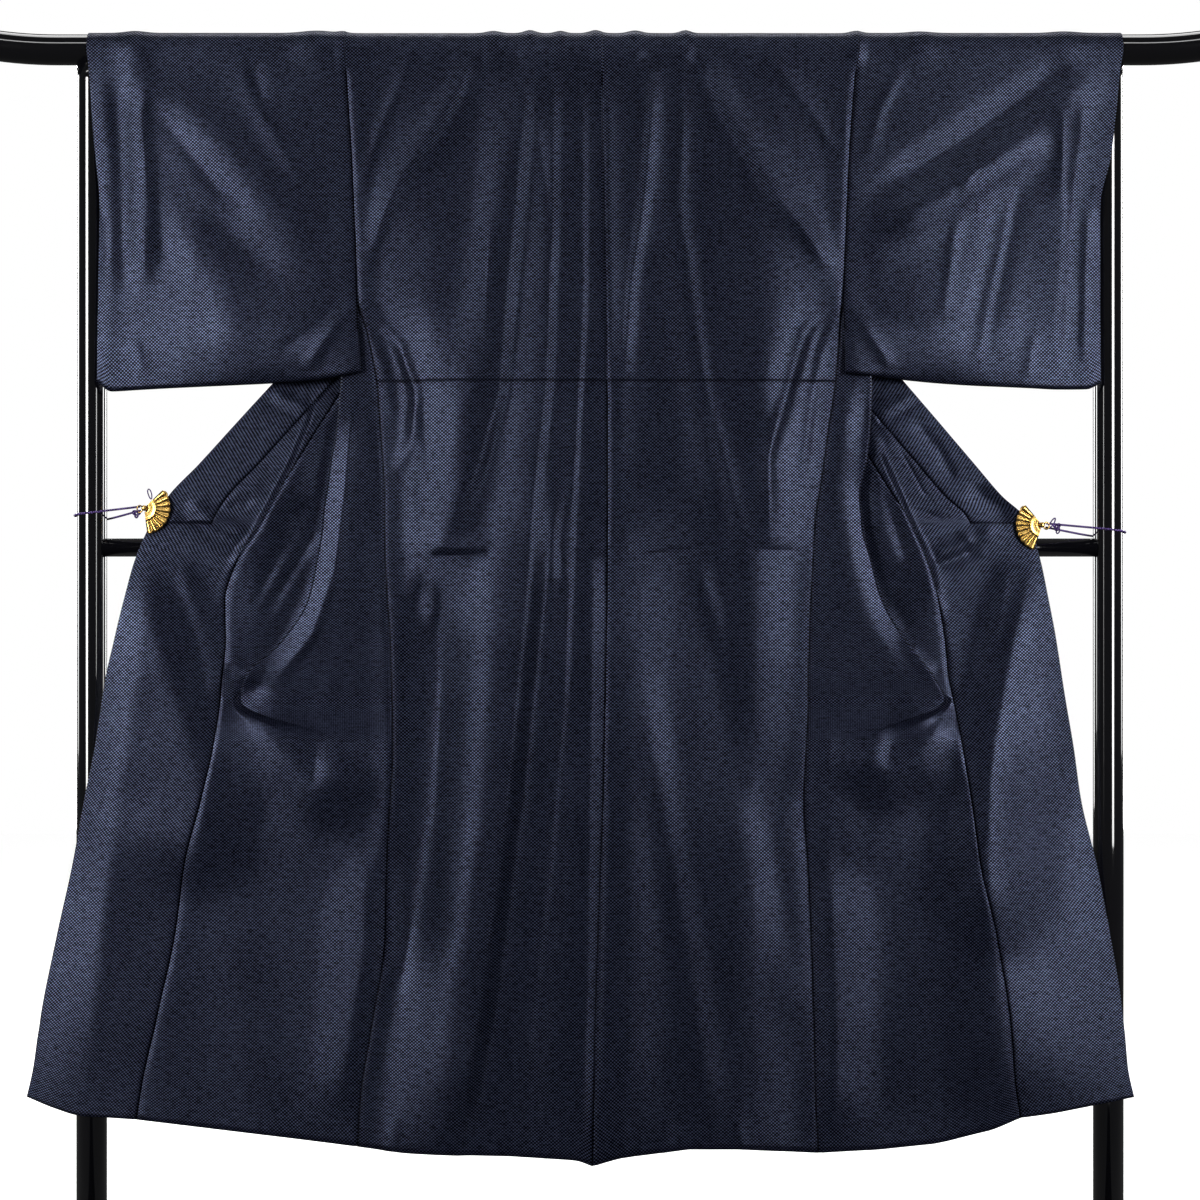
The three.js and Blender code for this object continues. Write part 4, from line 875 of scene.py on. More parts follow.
def finer(grid, piece, heights=()):
    """A fine grid through a piece's coarse one, with closer rows at the given heights."""
    row_spacing, column_spacing = SPACING[piece]
    at = row_places(grid)
    places = [even_places(at, row_spacing), *close_rows(grid, at, heights)]
    fine = resample(grid, at, np.unique(np.concatenate(places)))
    across = np.swapaxes(fine, 0, 1)
    gaps = np.linalg.norm(np.diff(across, axis=0), axis=2).max(axis=1)
    col = np.concatenate([[0], np.cumsum(np.maximum(gaps, 0.2))])
    wanted = with_edge_places(even_places(col, column_spacing))
    return np.swapaxes(resample(across, col, wanted), 0, 1)


def line_curve(side, name):
    """A line's distance from the centre by height, smooth between the table's rows."""
    rows = rows_of(LINE_COLUMNS, side["lines"])
    rows.append(hem_row_of(rows[-1]))
    heights = np.array([row["z"] for row in rows[::-1]], float)
    values = np.array([row[name] for row in rows[::-1]], float)
    return lambda z: resample(values, heights, np.clip(z, heights[0], heights[-1]))


def unsettled(x, z):
    """The table height that a point near the hem belongs to."""
    hem = np.interp(x, *hem_table)
    low = HEM_LEVEL + (z - hem) * (HEM_REACH - HEM_LEVEL) / (HEM_REACH - hem)
    return np.where(z < HEM_REACH, low, z)


def near_edge(fine, column, rows, reach):
    """One edge of a fine grid, and how much each point of its rows belongs to it."""
    edge = fine[rows, column].copy()
    away = np.linalg.norm(fine[rows] - edge[:, None], axis=2)
    return edge, 1 - smooth(away / reach)


def pin_edge(fine, column, target, rows, reach="back", depth=None):
    """Moves one edge of a fine grid sideways onto its seam line, and its neighbours less."""
    edge, weight = near_edge(fine, column, rows, PIN_REACH[reach])
    wanted = target(unsettled(edge[:, 0], edge[:, 2]))
    fine[rows, :, 0] += weight * (wanted - edge[:, 0])[:, None]
    if depth:
        y = np.interp(edge[:, 2], *depth_table[depth])
        fine[rows, :, 1] += weight * (y - edge[:, 1])[:, None]


def painted_seam_shadow(points, seams, with_tuck_shadow):
    """Painted shadow along the cloth's stitched edges and its tuck, from 0 to 1."""
    painted_shadow = np.zeros(points.shape[:2])
    for column, sewn in seams:
        away = np.linalg.norm(points - points[:, column][:, None], axis=2)
        dark = np.exp(-((away / PAINTED_SEAM_SHADOW_WIDTH) ** 2)) * np.asarray(sewn, float)[:, None]
        painted_shadow = np.maximum(painted_shadow, dark)
    if with_tuck_shadow:
        back = np.arange(points.shape[0])[:, None] < points.shape[0] / 2
        away = (points[..., 2] - TUCK["height"]) / TUCK["painted_shadow_width"]
        painted_shadow = np.maximum(painted_shadow, TUCK["painted_shadow"] * np.exp(-(away**2)) * back)
    return painted_shadow


def sheet_object(name, points, material, wall=WALL, seams=(), with_tuck_shadow=False, straight=False):
    """A thin closed shell of cloth from a fine grid of points in millimetres.

    Stitched edges given as (column, rows), and the waist tuck if asked, get a painted shadow
    line kept in the seam attribute. The weave of a straight piece runs level all over.
    """
    rows, columns = points.shape[:2]
    bm = bmesh.new()
    bmesh.ops.create_grid(bm, x_segments=columns - 1, y_segments=rows - 1, size=1)
    mesh = bpy.data.meshes.new(name)
    bm.to_mesh(mesh)
    bm.free()
    rank = np.zeros(rows * columns * 3, np.float32)
    mesh.vertices.foreach_get("co", rank)
    rank = rank.reshape(-1, 3)
    c = np.rint((rank[:, 0] + 1) / 2 * (columns - 1)).astype(int)
    r = np.rint((rank[:, 1] + 1) / 2 * (rows - 1)).astype(int)
    mesh.vertices.foreach_set("co", (points[r, c] * MM).astype(np.float32).ravel())
    flat_places(mesh, points, r, c, straight)
    # Painted shadow along the stitched edges and the tuck, stored per point for the cloth material.
    painted_shadow = painted_seam_shadow(points, seams, with_tuck_shadow)
    attribute = mesh.attributes.new("seam", "FLOAT", "POINT")
    attribute.data.foreach_set("value", painted_shadow[r, c].astype(np.float32))
    obj = shown(name, mesh, material)
    solid = obj.modifiers.new("cloth wall", "SOLIDIFY")
    solid.thickness = wall * MM
    solid.offset = 0
    solid.use_even_offset = False
    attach(obj, "root")
    return obj


def shown(name, mesh, material):
    mesh.shade_smooth()
    mesh.materials.append(material)
    obj = bpy.data.objects.new(name, mesh)
    bpy.context.scene.collection.objects.link(obj)
    return obj


def flat_places(mesh, points, r, c, straight):
    """Stores each point's place in the flat cloth as the UV map, in metres."""
    across = np.linalg.norm(np.diff(points, axis=1), axis=2)
    u = np.concatenate([np.zeros((points.shape[0], 1)), np.cumsum(across, axis=1)], axis=1)
    if straight:
        u = points[..., 0]
    middle = points[:, points.shape[1] // 2]
    v = np.concatenate([[0], np.cumsum(np.linalg.norm(np.diff(middle, axis=0), axis=1))])
    layer = mesh.uv_layers.new(name="cloth")
    loops = np.zeros(len(mesh.loops), np.int32)
    mesh.loops.foreach_get("vertex_index", loops)
    uv = np.stack([u[r, c] * MM, v[r] * MM], axis=1)[loops]
    layer.data.foreach_set("uv", uv.astype(np.float32).ravel())


# ---- creases and seams ---------------------------------------------------------------
def soft_ramp(t, ease=CORNER_EASE):
    """t above zero and zero below it, with an eased corner."""
    return 0.5 * (t + np.sqrt(t * t + ease * ease)) - 0.5 * ease


def soft_lower(a, b, ease=CORNER_EASE):
    """The lower of two values, with an eased corner."""
    return 0.5 * (a + b - np.sqrt((a - b) ** 2 + ease * ease))


def crease_profile(kind, width, d, signed):
    """Height of a crease across its line, from its distance in half widths."""
    if kind == "soft":
        return np.exp(-d * d)
    if kind == "sharp":
        return np.exp(-d * SHARP_FALL)
    if kind == "tent":
        return soft_lower(soft_ramp(1 - d), TENT_TOP)
    if kind in DROPS:
        flank = signed / width
        return soft_lower(soft_ramp(1 - flank), soft_ramp(1 + flank / DROPS[kind]))
    return STEP_GAIN * np.sign(signed) * d * np.exp(-d * d / 2)


def crease_push(creases, x, z):
    """Forward push of the cloth by its creases, for arrays of x and z."""
    total = np.zeros_like(x)
    for kind, width, height, points in creases:
        path = np.array(points, float)
        steps = np.linalg.norm(np.diff(path, axis=0), axis=1)
        starts = np.concatenate([[0], np.cumsum(steps)])
        nearest = np.full(x.shape, np.inf)
        along = np.zeros_like(x)
        signed = np.zeros_like(x)
        for i, step in enumerate(steps):
            (ax, az), (bx, bz) = path[i], path[i + 1]
            dx, dz = (bx - ax) / step, (bz - az) / step
            t = np.clip((x - ax) * dx + (z - az) * dz, 0, step)
            gap_x, gap_z = x - ax - dx * t, z - az - dz * t
            away = np.hypot(gap_x, gap_z)
            closer = away < nearest
            nearest = np.where(closer, away, nearest)
            along = np.where(closer, starts[i] + t, along)
            signed = np.where(closer, gap_x * dz - gap_z * dx, signed)
        share = along / starts[-1]
        from_end = np.minimum(share, 1 - share)
        ends = smooth(from_end / CREASE_ENDS["taper"] + CREASE_ENDS["strength"])
        total += height * ends * crease_profile(kind, width, nearest / abs(width), signed)
    return total


def seam_dip(fine, column, rows):
    """The upper cloth turns in a little where it is sewn."""
    weight = near_edge(fine, column, rows, SEAM_DIP["reach"])[1]
    fine[rows, :, 1] += SEAM_DIP["depth"] * weight


def seam_allowance(fine, column, rows, outward):
    """The lower cloth of a seam runs on a little behind the upper one."""
    weight = near_edge(fine, column, rows, SEAM_ALLOWANCE["reach"])[1]
    fine[rows, :, 0] += outward * SEAM_ALLOWANCE["over"] * weight
    fine[rows, :, 1] += SEAM_ALLOWANCE["under"] * weight


# ---- the cloth pieces ----------------------------------------------------------------
def bar_humps(fine):
    """Lifts the cloth away from the bar in small humps."""
    x, y, z = fine[..., 0], fine[..., 1], fine[..., 2]
    out = sum(h * np.exp(-(((x - at) / w) ** 2)) for at, w, h in BAR_HUMPS)
    share = smooth((z - HUMP_FADE["start"]) / HUMP_FADE["length"])
    reach = np.maximum(np.hypot(y, z - BAR["height"]), 1)
    up = np.maximum(z - BAR["height"], 0)
    fine[..., 1] += out * share * y / reach
    fine[..., 2] += out * share * up / reach


def tuck_step(z):
    """The waist tuck: cloth above it lies over the cloth below."""
    top = TUCK["height"]
    step = TUCK["rise"] * smooth((z - top) / TUCK["step"])
    return step * smooth((top + TUCK["reach"] - z) / TUCK["fade"])


def push_back_out(side, x, z):
    """Forward push of the back by its folds, creases and tuck."""
    push = FOLD_SHARE["back"] * fold_push(BACK_FOLDS, x, z) + crease_push(BACK_CREASES, x, z)
    columns = np.linspace(0, 1, x.shape[1])[None, :]
    push = push * smooth((1 - columns) / EDGE_FADE)
    return push + tuck_step(z) * smooth((side["sign"] * x) / TUCK["centre_fade"])


def front_fold_push(side, x, z):
    push = FOLD_SHARE["front"] * fold_push(side["front_folds"], x, z)
    return push * smooth((COLLAR_END - z) / LOW_FOLD_FADE)


def push_front_out(side, x, z, side_line):
    """Forward push of the front that shows past the back's side seam."""
    out = side["sign"] * x

    def seam_beside(heights):
        return side_line(heights.ravel()).reshape(x.shape)

    fade = smooth(np.abs(out - seam_beside(unsettled(x, z))) / FRONT_FADE)
    shows = out > seam_beside(np.clip(z, HEM_LEVEL, FRONT_CREASE_TOP))
    return front_fold_push(side, x, z) * fade + crease_push(side["creases"], x, z) * fade * shows


def build_body(side, material):
    sign = side["sign"]
    fine = finer(body_grid(side), "body", heights=(TUCK["height"], STORAGE_LINE))
    top = int(np.argmax(fine[:, -1, 2]))
    row = np.arange(fine.shape[0])
    edge_z = fine[:, -1, 2]
    back = (row < top) & (edge_z < SHOULDER_HEIGHT)
    low_front = (row > top) & (fine[:, 0, 2] < FRONT_SEAM_TOP)
    under_arm = (row > top) & (edge_z < ARMHOLE_END)
    side_line, seam_line = line_curve(side, "side"), line_curve(side, "seam")
    pin_edge(fine, -1, lambda z: sign * (side_line(z) - HALF_GAP), back, depth="near")
    pin_edge(fine, 0, lambda z: np.interp(z, *centre_table) + sign * HALF_GAP, back)
    pin_edge(fine, -1, lambda z: sign * (side_line(z) + HALF_GAP), under_arm, "front")
    pin_edge(fine, 0, lambda z: sign * (seam_line(z) - HALF_GAP), low_front, "front", depth="seam")
    x, z = fine[..., 0], fine[..., 2]
    out_back, out_front = push_back_out(side, x, z), push_front_out(side, x, z, side_line)
    fine[..., 1] -= np.where((row < top)[:, None], out_back, out_front)
    bar_humps(fine)
    closed_back = back & (edge_z < ARMHOLE_END)
    # Stitched edges that get a painted shadow line in the cloth's colour; the tuck gets one as
    # well.
    seams = [(-1, closed_back), (-1, under_arm)]
    seam_dip(fine, -1, closed_back)
    seam_allowance(fine, -1, back & (edge_z >= ARMHOLE_END), sign)
    if sign < 0:
        seam_dip(fine, 0, back)
        seams.append((0, back))
    else:
        seam_allowance(fine, 0, back, -1)
    seam_allowance(fine, -1, under_arm, -sign)
    seam_allowance(fine, 0, low_front, sign)
    name = f"body_cloth_{side['name']}"
    return sheet_object(name, fine, material, seams=seams, with_tuck_shadow=True, straight=True)


def build_okumi(side, material):
    sign = side["sign"]
    fine = finer(okumi_grid(side), "okumi")
    seam_line, edge_line = line_curve(side, "seam"), line_curve(side, "edge")
    every = np.ones(fine.shape[0], bool)
    collared = fine[:, -1, 2] >= COLLAR_END - 0.5
    free = ~collared & (fine[:, -1, 2] <= COLLAR_END - COLLAR_END_STEP + 0.1)
    across = side["collar_across"]

    def okumi_seam(z):
        return sign * (seam_line(z) + HALF_GAP)

    def collar_side(z):
        return sign * np.maximum(edge_line(z) - across - HALF_GAP, seam_line(z) + OKUMI_TIP_WIDTH)

    pin_edge(fine, 0, okumi_seam, every, "okumi", depth="seam")
    pin_edge(fine, -1, collar_side, collared, "okumi")
    pin_edge(fine, -1, lambda z: sign * edge_line(z), free, "free")
    x, z = fine[..., 0], fine[..., 2]
    fine[..., 1] -= front_fold_push(side, x, z) + crease_push(side["creases"], x, z)
    seam_dip(fine, 0, every)
    seam_allowance(fine, -1, collared, sign)
    # The okumi seam gets a painted shadow line.
    return sheet_object(f"okumi_cloth_{side['name']}", fine, material, seams=[(0, every)])


def sleeve_curve(side, name):
    table = column_table(SLEEVE_COLUMN_NAMES, side["sleeve"])
    heights, values = table[name]
    return lambda z: resample(values, heights, np.clip(z, heights[0], heights[-1]))


def build_sleeve(side, material):
    sign = side["sign"]
    fine = finer(sleeve_grid(side), "sleeve")
    row = np.arange(fine.shape[0])
    top = int(np.argmax(fine[:, 3, 2]))
    near, far = row < top, row > top
    inner_z = fine[:, 0, 2]
    side_line, inner_line = line_curve(side, "side"), sleeve_curve(side, "inner")

    def inner_seam(z):
        return sign * (np.where(z >= ARMHOLE_END, side_line(z), inner_line(z)) + HALF_GAP)

    sewn = near & (inner_z < SHOULDER_HEIGHT) & (inner_z > SLEEVE_SEAM_END)
    pin_edge(fine, 0, inner_seam, sewn)
    x, z = fine[..., 0], fine[..., 2]
    columns = np.linspace(0, 1, fine.shape[1])[None, :]
    fade = smooth(np.minimum(columns, 1 - columns) / EDGE_FADE)
    facing = np.where(near, 1, -FAR_FOLD_SHARE)[:, None]
    push = FOLD_SHARE["sleeve"] * fold_push(side["sleeve_folds"], x, z)
    push += crease_push(side["sleeve_creases"], x, z)
    fine[..., 1] -= push * fade * facing
    bar_humps(fine)
    close_sleeve(fine, near, far, 0, ARMHOLE_END)
    close_sleeve(fine, near, far, -1, CUFF_END)
    seam_dip(fine, 0, sewn)
    # The sewn inner edge gets a painted shadow line.
    return sheet_object(f"sleeve_cloth_{side['name']}", fine, material, seams=[(0, sewn)])


def close_sleeve(fine, near, far, column, top_z):
    """Brings the near and far cloth together along an edge that is sewn shut."""
    edge_z = fine[:, column, 2]
    low = edge_z < top_z
    other_y = np.zeros(fine.shape[0])
    near_rows, far_rows = np.where(near & low)[0], np.where(far & low)[0]
    for mine, others in ((near_rows, far_rows), (far_rows, near_rows)):
        rising = others[np.argsort(edge_z[others])]
        other_y[mine] = np.interp(edge_z[mine], edge_z[rising], fine[rising, column, 1])
    rows = np.concatenate([near_rows, far_rows])
    edge, weight = near_edge(fine, column, rows, SEWN_EDGE["reach"])
    fade = smooth((top_z - edge_z[rows]) / SEWN_EDGE["fade"])
    middle = (edge[:, 1] + other_y[rows]) / 2
    gap = np.where(edge[:, 1] < middle, -SEWN_EDGE["half_gap"], SEWN_EDGE["half_gap"])
    fine[rows, :, 1] += weight * ((middle + gap - edge[:, 1]) * fade)[:, None]


def build_collar(material):
    fine = finer(collar_grid(), "collar")
    half = fine.shape[0] // 2
    row = np.arange(fine.shape[0])
    seam_z = fine[:, 0, 2]
    for side in SIDES.values():
        sign = side["sign"]
        mine = (row > half) if sign > 0 else (row < half)
        seam_line, edge_line = line_curve(side, "seam"), line_curve(side, "edge")
        low = mine & (seam_z <= FRONT_SEAM_TOP)
        across, okumi_top = side["collar_across"], side["okumi_top"]

        def seam(z):
            beside_okumi = np.maximum(edge_line(z) - across, seam_line(z) + OKUMI_TIP_WIDTH)
            joined = smooth((okumi_top + COLLAR_JOIN_REACH - z) / COLLAR_JOIN_REACH)
            return sign * (lerp(seam_line(z), beside_okumi, joined) + HALF_GAP)

        pin_edge(fine, 0, seam, low, "collar")
        pin_edge(fine, -1, lambda z: sign * edge_line(z), low, "collar")
        x, z = fine[..., 0], fine[..., 2]
        fine[..., 1] -= crease_push(side["creases"], x, z) * mine[:, None]
        seam_dip(fine, 0, low)
        lower_end(fine, mine & (fine[:, 3, 2] < COLLAR_END + COLLAR_END_LAP["start"]))
    # The collar's lower seam gets a painted shadow line.
    return sheet_object("collar_cloth", fine, material, seams=[(0, seam_z <= FRONT_SEAM_TOP)])


def lower_end(fine, rows):
    """The collar's end reaches a little over the cloth that it is sewn to."""
    share = 1 - smooth((fine[rows, :, 2] - COLLAR_END) / COLLAR_END_LAP["reach"])
    fine[rows, :, 2] -= COLLAR_END_LAP["drop"] * share
    fine[rows, :, 1] -= COLLAR_END_LAP["forward"] * share


# ---- lacquered stand -----------------------------------------------------------------
def lofted(name, rings, material):
    """A solid through rings of points in millimetres; its ends are drawn to their middles."""
    rings = np.array(rings, float)
    first, last = (np.repeat(rings[i].mean(axis=0)[None], rings.shape[1], axis=0) for i in (0, -1))
    rings = np.concatenate([first[None], rings, last[None]])
    rows, columns = rings.shape[0], rings.shape[1] + 1
    rings = np.concatenate([rings, rings[:, :1]], axis=1)
    bm = bmesh.new()
    bmesh.ops.create_grid(bm, x_segments=columns - 1, y_segments=rows - 1, size=1)
    for vert in bm.verts:
        c = round((vert.co.x + 1) / 2 * (columns - 1))
        r = round((vert.co.y + 1) / 2 * (rows - 1))
        vert.co = Vector(rings[r, c] * MM)
    bmesh.ops.remove_doubles(bm, verts=bm.verts, dist=1e-6)
    bmesh.ops.recalc_face_normals(bm, faces=bm.faces)
    mesh = bpy.data.meshes.new(name)
    bm.to_mesh(mesh)
    bm.free()
    obj = shown(name, mesh, material)
    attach(obj, "root")
    return obj


def oval(half_a, half_b, sides=64):
    turn = np.linspace(0, 2 * math.pi, sides, endpoint=False)
    return half_a * np.cos(turn), half_b * np.sin(turn)


def build_top_bar(material):
    a, b = oval(BAR["radius"], BAR["radius"])
    length = BAR["tip_share"]
    start, rings = 1 - length, []
    tip = list(np.linspace(start, BAR["end_share"], 14)) + [1]
    for share in [-t for t in tip[::-1]] + [-start / 2, 0, start / 2] + tip:
        into_tip = max(0.0, (abs(share) - start) / length)
        rise = BAR["tip_rise"] * into_tip**2
        slope = 2 * BAR["tip_rise"] * into_tip / length / BAR["half_length"]
        lean = math.atan(slope) * (1 if share > 0 else -1)
        size = BAR["end_size"] if abs(share) == 1 else 1
        x = share * BAR["half_length"] - b * size * math.sin(lean)
        z = BAR["height"] + rise + b * size * math.cos(lean)
        rings.append(np.stack([x, a * size, z], axis=1))
    bar = lofted("lacquered_bar", rings, material)
    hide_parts("top_bar", "bar_tip_left", "bar_tip_right")


def build_upright(side, material):
    a, b = oval(UPRIGHT["half_width"], UPRIGHT["half_depth"])
    x = side["sign"] * UPRIGHT["offset"] + a
    top = BAR["height"] - np.sqrt((BAR["radius"] + SEAM_GAP) ** 2 - b**2)
    heights = (FOOT_HEIGHT + SEAM_GAP, *UPRIGHT["rings"])
    rings = [np.stack([x, b, np.full_like(x, z)], axis=1) for z in heights]
    rings.append(np.stack([x, b, top], axis=1))
    post = lofted(f"lacquered_upright_{side['name']}", rings, material)
    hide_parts(f"upright_{side['name']}")


def build_rail(material):
    a, b = oval(RAIL["radius"], RAIL["radius"])
    deep = np.sqrt(1 - (a / (UPRIGHT["half_depth"] + SEAM_GAP)) ** 2)
    reach = UPRIGHT["offset"] - (UPRIGHT["half_width"] + SEAM_GAP) * deep - SEAM_GAP
    shares = (-1, -0.5, 0, 0.5, 1)
    rings = [np.stack([reach * share, a, RAIL["height"] + b], axis=1) for share in shares]
    rail = lofted("lacquered_rail", rings, material)
    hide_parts("middle_rail")


# ---- fan clips and their cords -------------------------------------------------------
CLIPS = {
    "left": {"x": -595, "z": 1036, "from": -83, "to": 44},
    "right": {"x": 577, "z": 1014, "from": 130, "to": 252},
}
FAN = {
    "inner": 5.0, "shield": 15.0, "outer": 34.5, "ribs": 9, "rib_depth": 1.5, "wall": 0.9,
    "scallop": 1.6, "shield_lift": 1.1, "shield_ease": 2.0, "rib_ease": 1.5,
    "rim_lift": 0.7, "rim_width": 1.1, "steps_per_rib": 8,
}
FAN_RINGS = ((0, 0.3, 5), (0.33, 0.5, 7), (0.58, 1, 6))
FAN_DEPTHS = {"front": -28.5, "rear": -17.0}
PIVOT = {"radius": 3.6, "front": -31.0, "back": -14.5, "bevel": 0.8, "end_size": 0.7}
LUG = {"out": 6.5, "depth": -24.5, "down": 1, "half_width": 3.6, "half_height": 4.4, "radius": 1.0}


def fan_point(clip, share, angle_share, depth, forward):
    """A point of the fan: a plain raised shield at its root, then ribs to a scalloped edge."""
    rib = abs(math.sin(math.pi * FAN["ribs"] * angle_share))
    angle = math.radians(lerp(clip["from"], clip["to"], angle_share))
    reach = lerp(FAN["inner"], FAN["outer"] - FAN["scallop"] * (1 - rib) ** 2, share)
    past = reach - FAN["shield"]
    shield = FAN["shield_lift"] * (1 - smooth(past / FAN["shield_ease"]))
    shield += FAN["rim_lift"] * math.exp(-((past / FAN["rim_width"]) ** 2))
    lift = smooth(past / FAN["rib_ease"]) * rib * FAN["rib_depth"] * (0.5 + 0.5 * share) + shield
    across, up = reach * math.cos(angle), reach * math.sin(angle)
    return (clip["x"] + across, depth + forward * lift, clip["z"] + up)


def build_fan(name, clip, face, forward, material):
    shares = np.concatenate([np.linspace(*ring) for ring in FAN_RINGS])
    steps = np.linspace(0, 1, FAN["ribs"] * FAN["steps_per_rib"] + 1)
    depth = FAN_DEPTHS[face]
    grid = [[fan_point(clip, r, a, depth, forward) for a in steps] for r in shares]
    leaf = sheet_object(f"fan_{face}_{name}", np.array(grid), material, wall=FAN["wall"])
    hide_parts(f"clip_{face}_{name}")


def build_pivot(name, clip, material):
    a, b = oval(1, 1, sides=32)
    front, back, bevel, end = (PIVOT[key] for key in ("front", "back", "bevel", "end_size"))
    rings = []
    for y, size in ((front, end), (front + bevel, 1), (back - bevel, 1), (back, end)):
        r = PIVOT["radius"] * size
        rings.append(np.stack([clip["x"] + a * r, np.full_like(a, y), clip["z"] + b * r], axis=1))
    pivot = lofted(f"pivot_{name}", rings, material)
    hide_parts(f"clip_barrel_{name}")


def tube(name, points, radius, material, sides=10, spacing=0.8):
    """A round cord through points in millimetres."""
    path = np.array(points, float)
    gaps = np.linalg.norm(np.diff(path, axis=0), axis=1)
    at = np.concatenate([[0], np.cumsum(gaps)])
    path = resample(path, at, even_places(at, spacing))
    tangent = np.gradient(path, axis=0)
    tangent /= np.linalg.norm(tangent, axis=1)[:, None]
    normal = np.cross(tangent[0], (0.3, 0.2, 0.9))
    rings = []
    turn = np.linspace(0, 2 * math.pi, sides, endpoint=False)[:, None]
    for point, along in zip(path, tangent):
        normal = normal - along * np.dot(normal, along)
        normal = normal / np.linalg.norm(normal)
        other = np.cross(along, normal)
        rings.append(point + radius * (np.cos(turn) * normal + np.sin(turn) * other))
    obj = lofted(name, rings, material)
    return obj


def knot_points(centre, size, turns=60):
    """A cord wound into a three-lobed knot."""
    t = np.linspace(0, 2 * math.pi, turns)
    x, y = np.sin(t) + 2 * np.sin(2 * t), np.sin(3 * t)
    z = np.cos(t) - 2 * np.cos(2 * t)
    return np.stack([x * size / 3, y * size * 0.35, z * size / 3], axis=1) + np.array(centre)


def loop_points(centre, across, high, lean, turns=24):
    """A small standing loop of cord, leaning to one side."""
    t = np.linspace(-0.5 * math.pi, 1.5 * math.pi, turns)
    x, z = across / 2 * np.cos(t), high / 2 * (1 + np.sin(t))
    return np.stack([x + z * lean, 1.2 * np.sin(t * 2), z], axis=1) + np.array(centre)


# Knots, loops and bows beside each clip: shape, place from the clip, its sizes, cord radius.
TIES = {
    "left": [
        ("knot_left", knot_points, (-11, -24, -7), (5.2,), 1.2),
        ("loop_left", loop_points, (8, -22.8, 12), (4.5, 13, -0.25), 0.8),
    ],
    "right": [
        ("knot_right", knot_points, (20, -24, -2), (5.0,), 1.2),
        ("bow_upper_right", loop_points, (11, -24, -3), (5, 12, 0.55), 0.9),
        ("bow_lower_right", loop_points, (21, -24, -11), (4, 8, 0.2), 0.9),
    ],
}


def build_lug(name, clip, sign, material):
    """The small ring that the cord is tied to."""
    centre = (clip["x"] + sign * LUG["out"], LUG["depth"], clip["z"] - LUG["down"])
    t = np.linspace(0, 2 * math.pi, 25)
    x, z = LUG["half_width"] * np.cos(t), LUG["half_height"] * np.sin(t)
    ring = np.stack([x, 0.4 * np.sin(2 * t), z], axis=1) + np.array(centre)
    lug = tube(f"lug_{name}", ring, LUG["radius"], material)


def build_clip(name, gold_finish, cord_finish):
    clip, sign = CLIPS[name], SIDES[name]["sign"]
    build_fan(name, clip, "front", -1, gold_finish)
    build_fan(name, clip, "rear", 1, gold_finish)
    build_pivot(name, clip, gold_finish)
    build_lug(name, clip, sign, gold_finish)
    for tie, shape, (across, depth, up), sizes, radius in TIES[name]:
        points = shape((clip["x"] + across, depth, clip["z"] + up), *sizes)
        tube(tie, points, radius, cord_finish)


# ---- materials -----------------------------------------------------------------------
# Sizes of the weave in metres of cloth, its colours and the strength of its shine.
WEAVE = {"across": 0.0047, "along": 0.0042, "dot_top": 0.8}
SLUB = {"stretch": (60, 420, 1), "detail": 3, "share": 0.45}
CLOUD = {"scale": 14, "detail": 2, "share": 0.15}
SPECK = {"scale": 150, "share": 1.5}
# The silk's seam colour is the painted shadow colour along stitched edges and the tuck.
SILK = {
    "dark": (0.0008, 0.0009, 0.002), "light": (0.02, 0.023, 0.048), "start": 0.3,
    "seam": (0.0006, 0.0006, 0.001), "sheen": (0.56, 0.64, 1.0),
}
GLOSS = {"dark": 0.0, "light": 1.15}
ROUGHNESS = {"dark": 0.4, "light": 0.35}
YARN_RELIEF = {"Strength": 0.25, "Distance": 0.0004}
STRAND_SCALE = 260
STRAND_RELIEF = {"Strength": 0.5, "Distance": 0.0003}


def add_node(tree, kind, inputs=None, **settings):
    """A shader node with its settings, its inputs set or linked to other nodes' outputs."""
    node = tree.nodes.new(kind)
    for setting, value in settings.items():
        setattr(node, setting, value)
    feed(tree, node, inputs or {})
    return node


def feed(tree, node, inputs):
    for socket, value in inputs.items():
        if isinstance(value, bpy.types.NodeSocket):
            tree.links.new(value, node.inputs[socket])
        else:
            node.inputs[socket].default_value = value


def add_math(tree, operation, *values):
    return add_node(tree, "ShaderNodeMath", dict(enumerate(values)), operation=operation).outputs[0]


def new_material(name):
    material = bpy.data.materials.new(name)
    material.use_nodes = True
    tree = material.node_tree
    tree.nodes.clear()
    shader = add_node(tree, "ShaderNodeBsdfPrincipled")
    add_node(tree, "ShaderNodeOutputMaterial", {"Surface": shader.outputs["BSDF"]})
    return material, shader


def uneven_group():
    """A value that wanders a little over a surface, for the gloss of lacquer, metal and cord."""
    group = bpy.data.node_groups.new("uneven_gloss", "ShaderNodeTree")
    for name, value in (("Scale", 30.0), ("Low", 0.1), ("High", 0.2)):
        socket = group.interface.new_socket(name, in_out="INPUT", socket_type="NodeSocketFloat")
        socket.default_value = value
    group.interface.new_socket("Value", in_out="OUTPUT", socket_type="NodeSocketFloat")
    given = add_node(group, "NodeGroupInput").outputs
    place = add_node(group, "ShaderNodeTexCoord").outputs["Object"]
    noise = add_node(group, "ShaderNodeTexNoise", {"Vector": place, "Scale": given["Scale"]})
    ends = {"Value": noise.outputs["Fac"], "To Min": given["Low"], "To Max": given["High"]}
    spread = add_node(group, "ShaderNodeMapRange", ends)
    add_node(group, "NodeGroupOutput", {"Value": spread.outputs["Result"]})
    return group


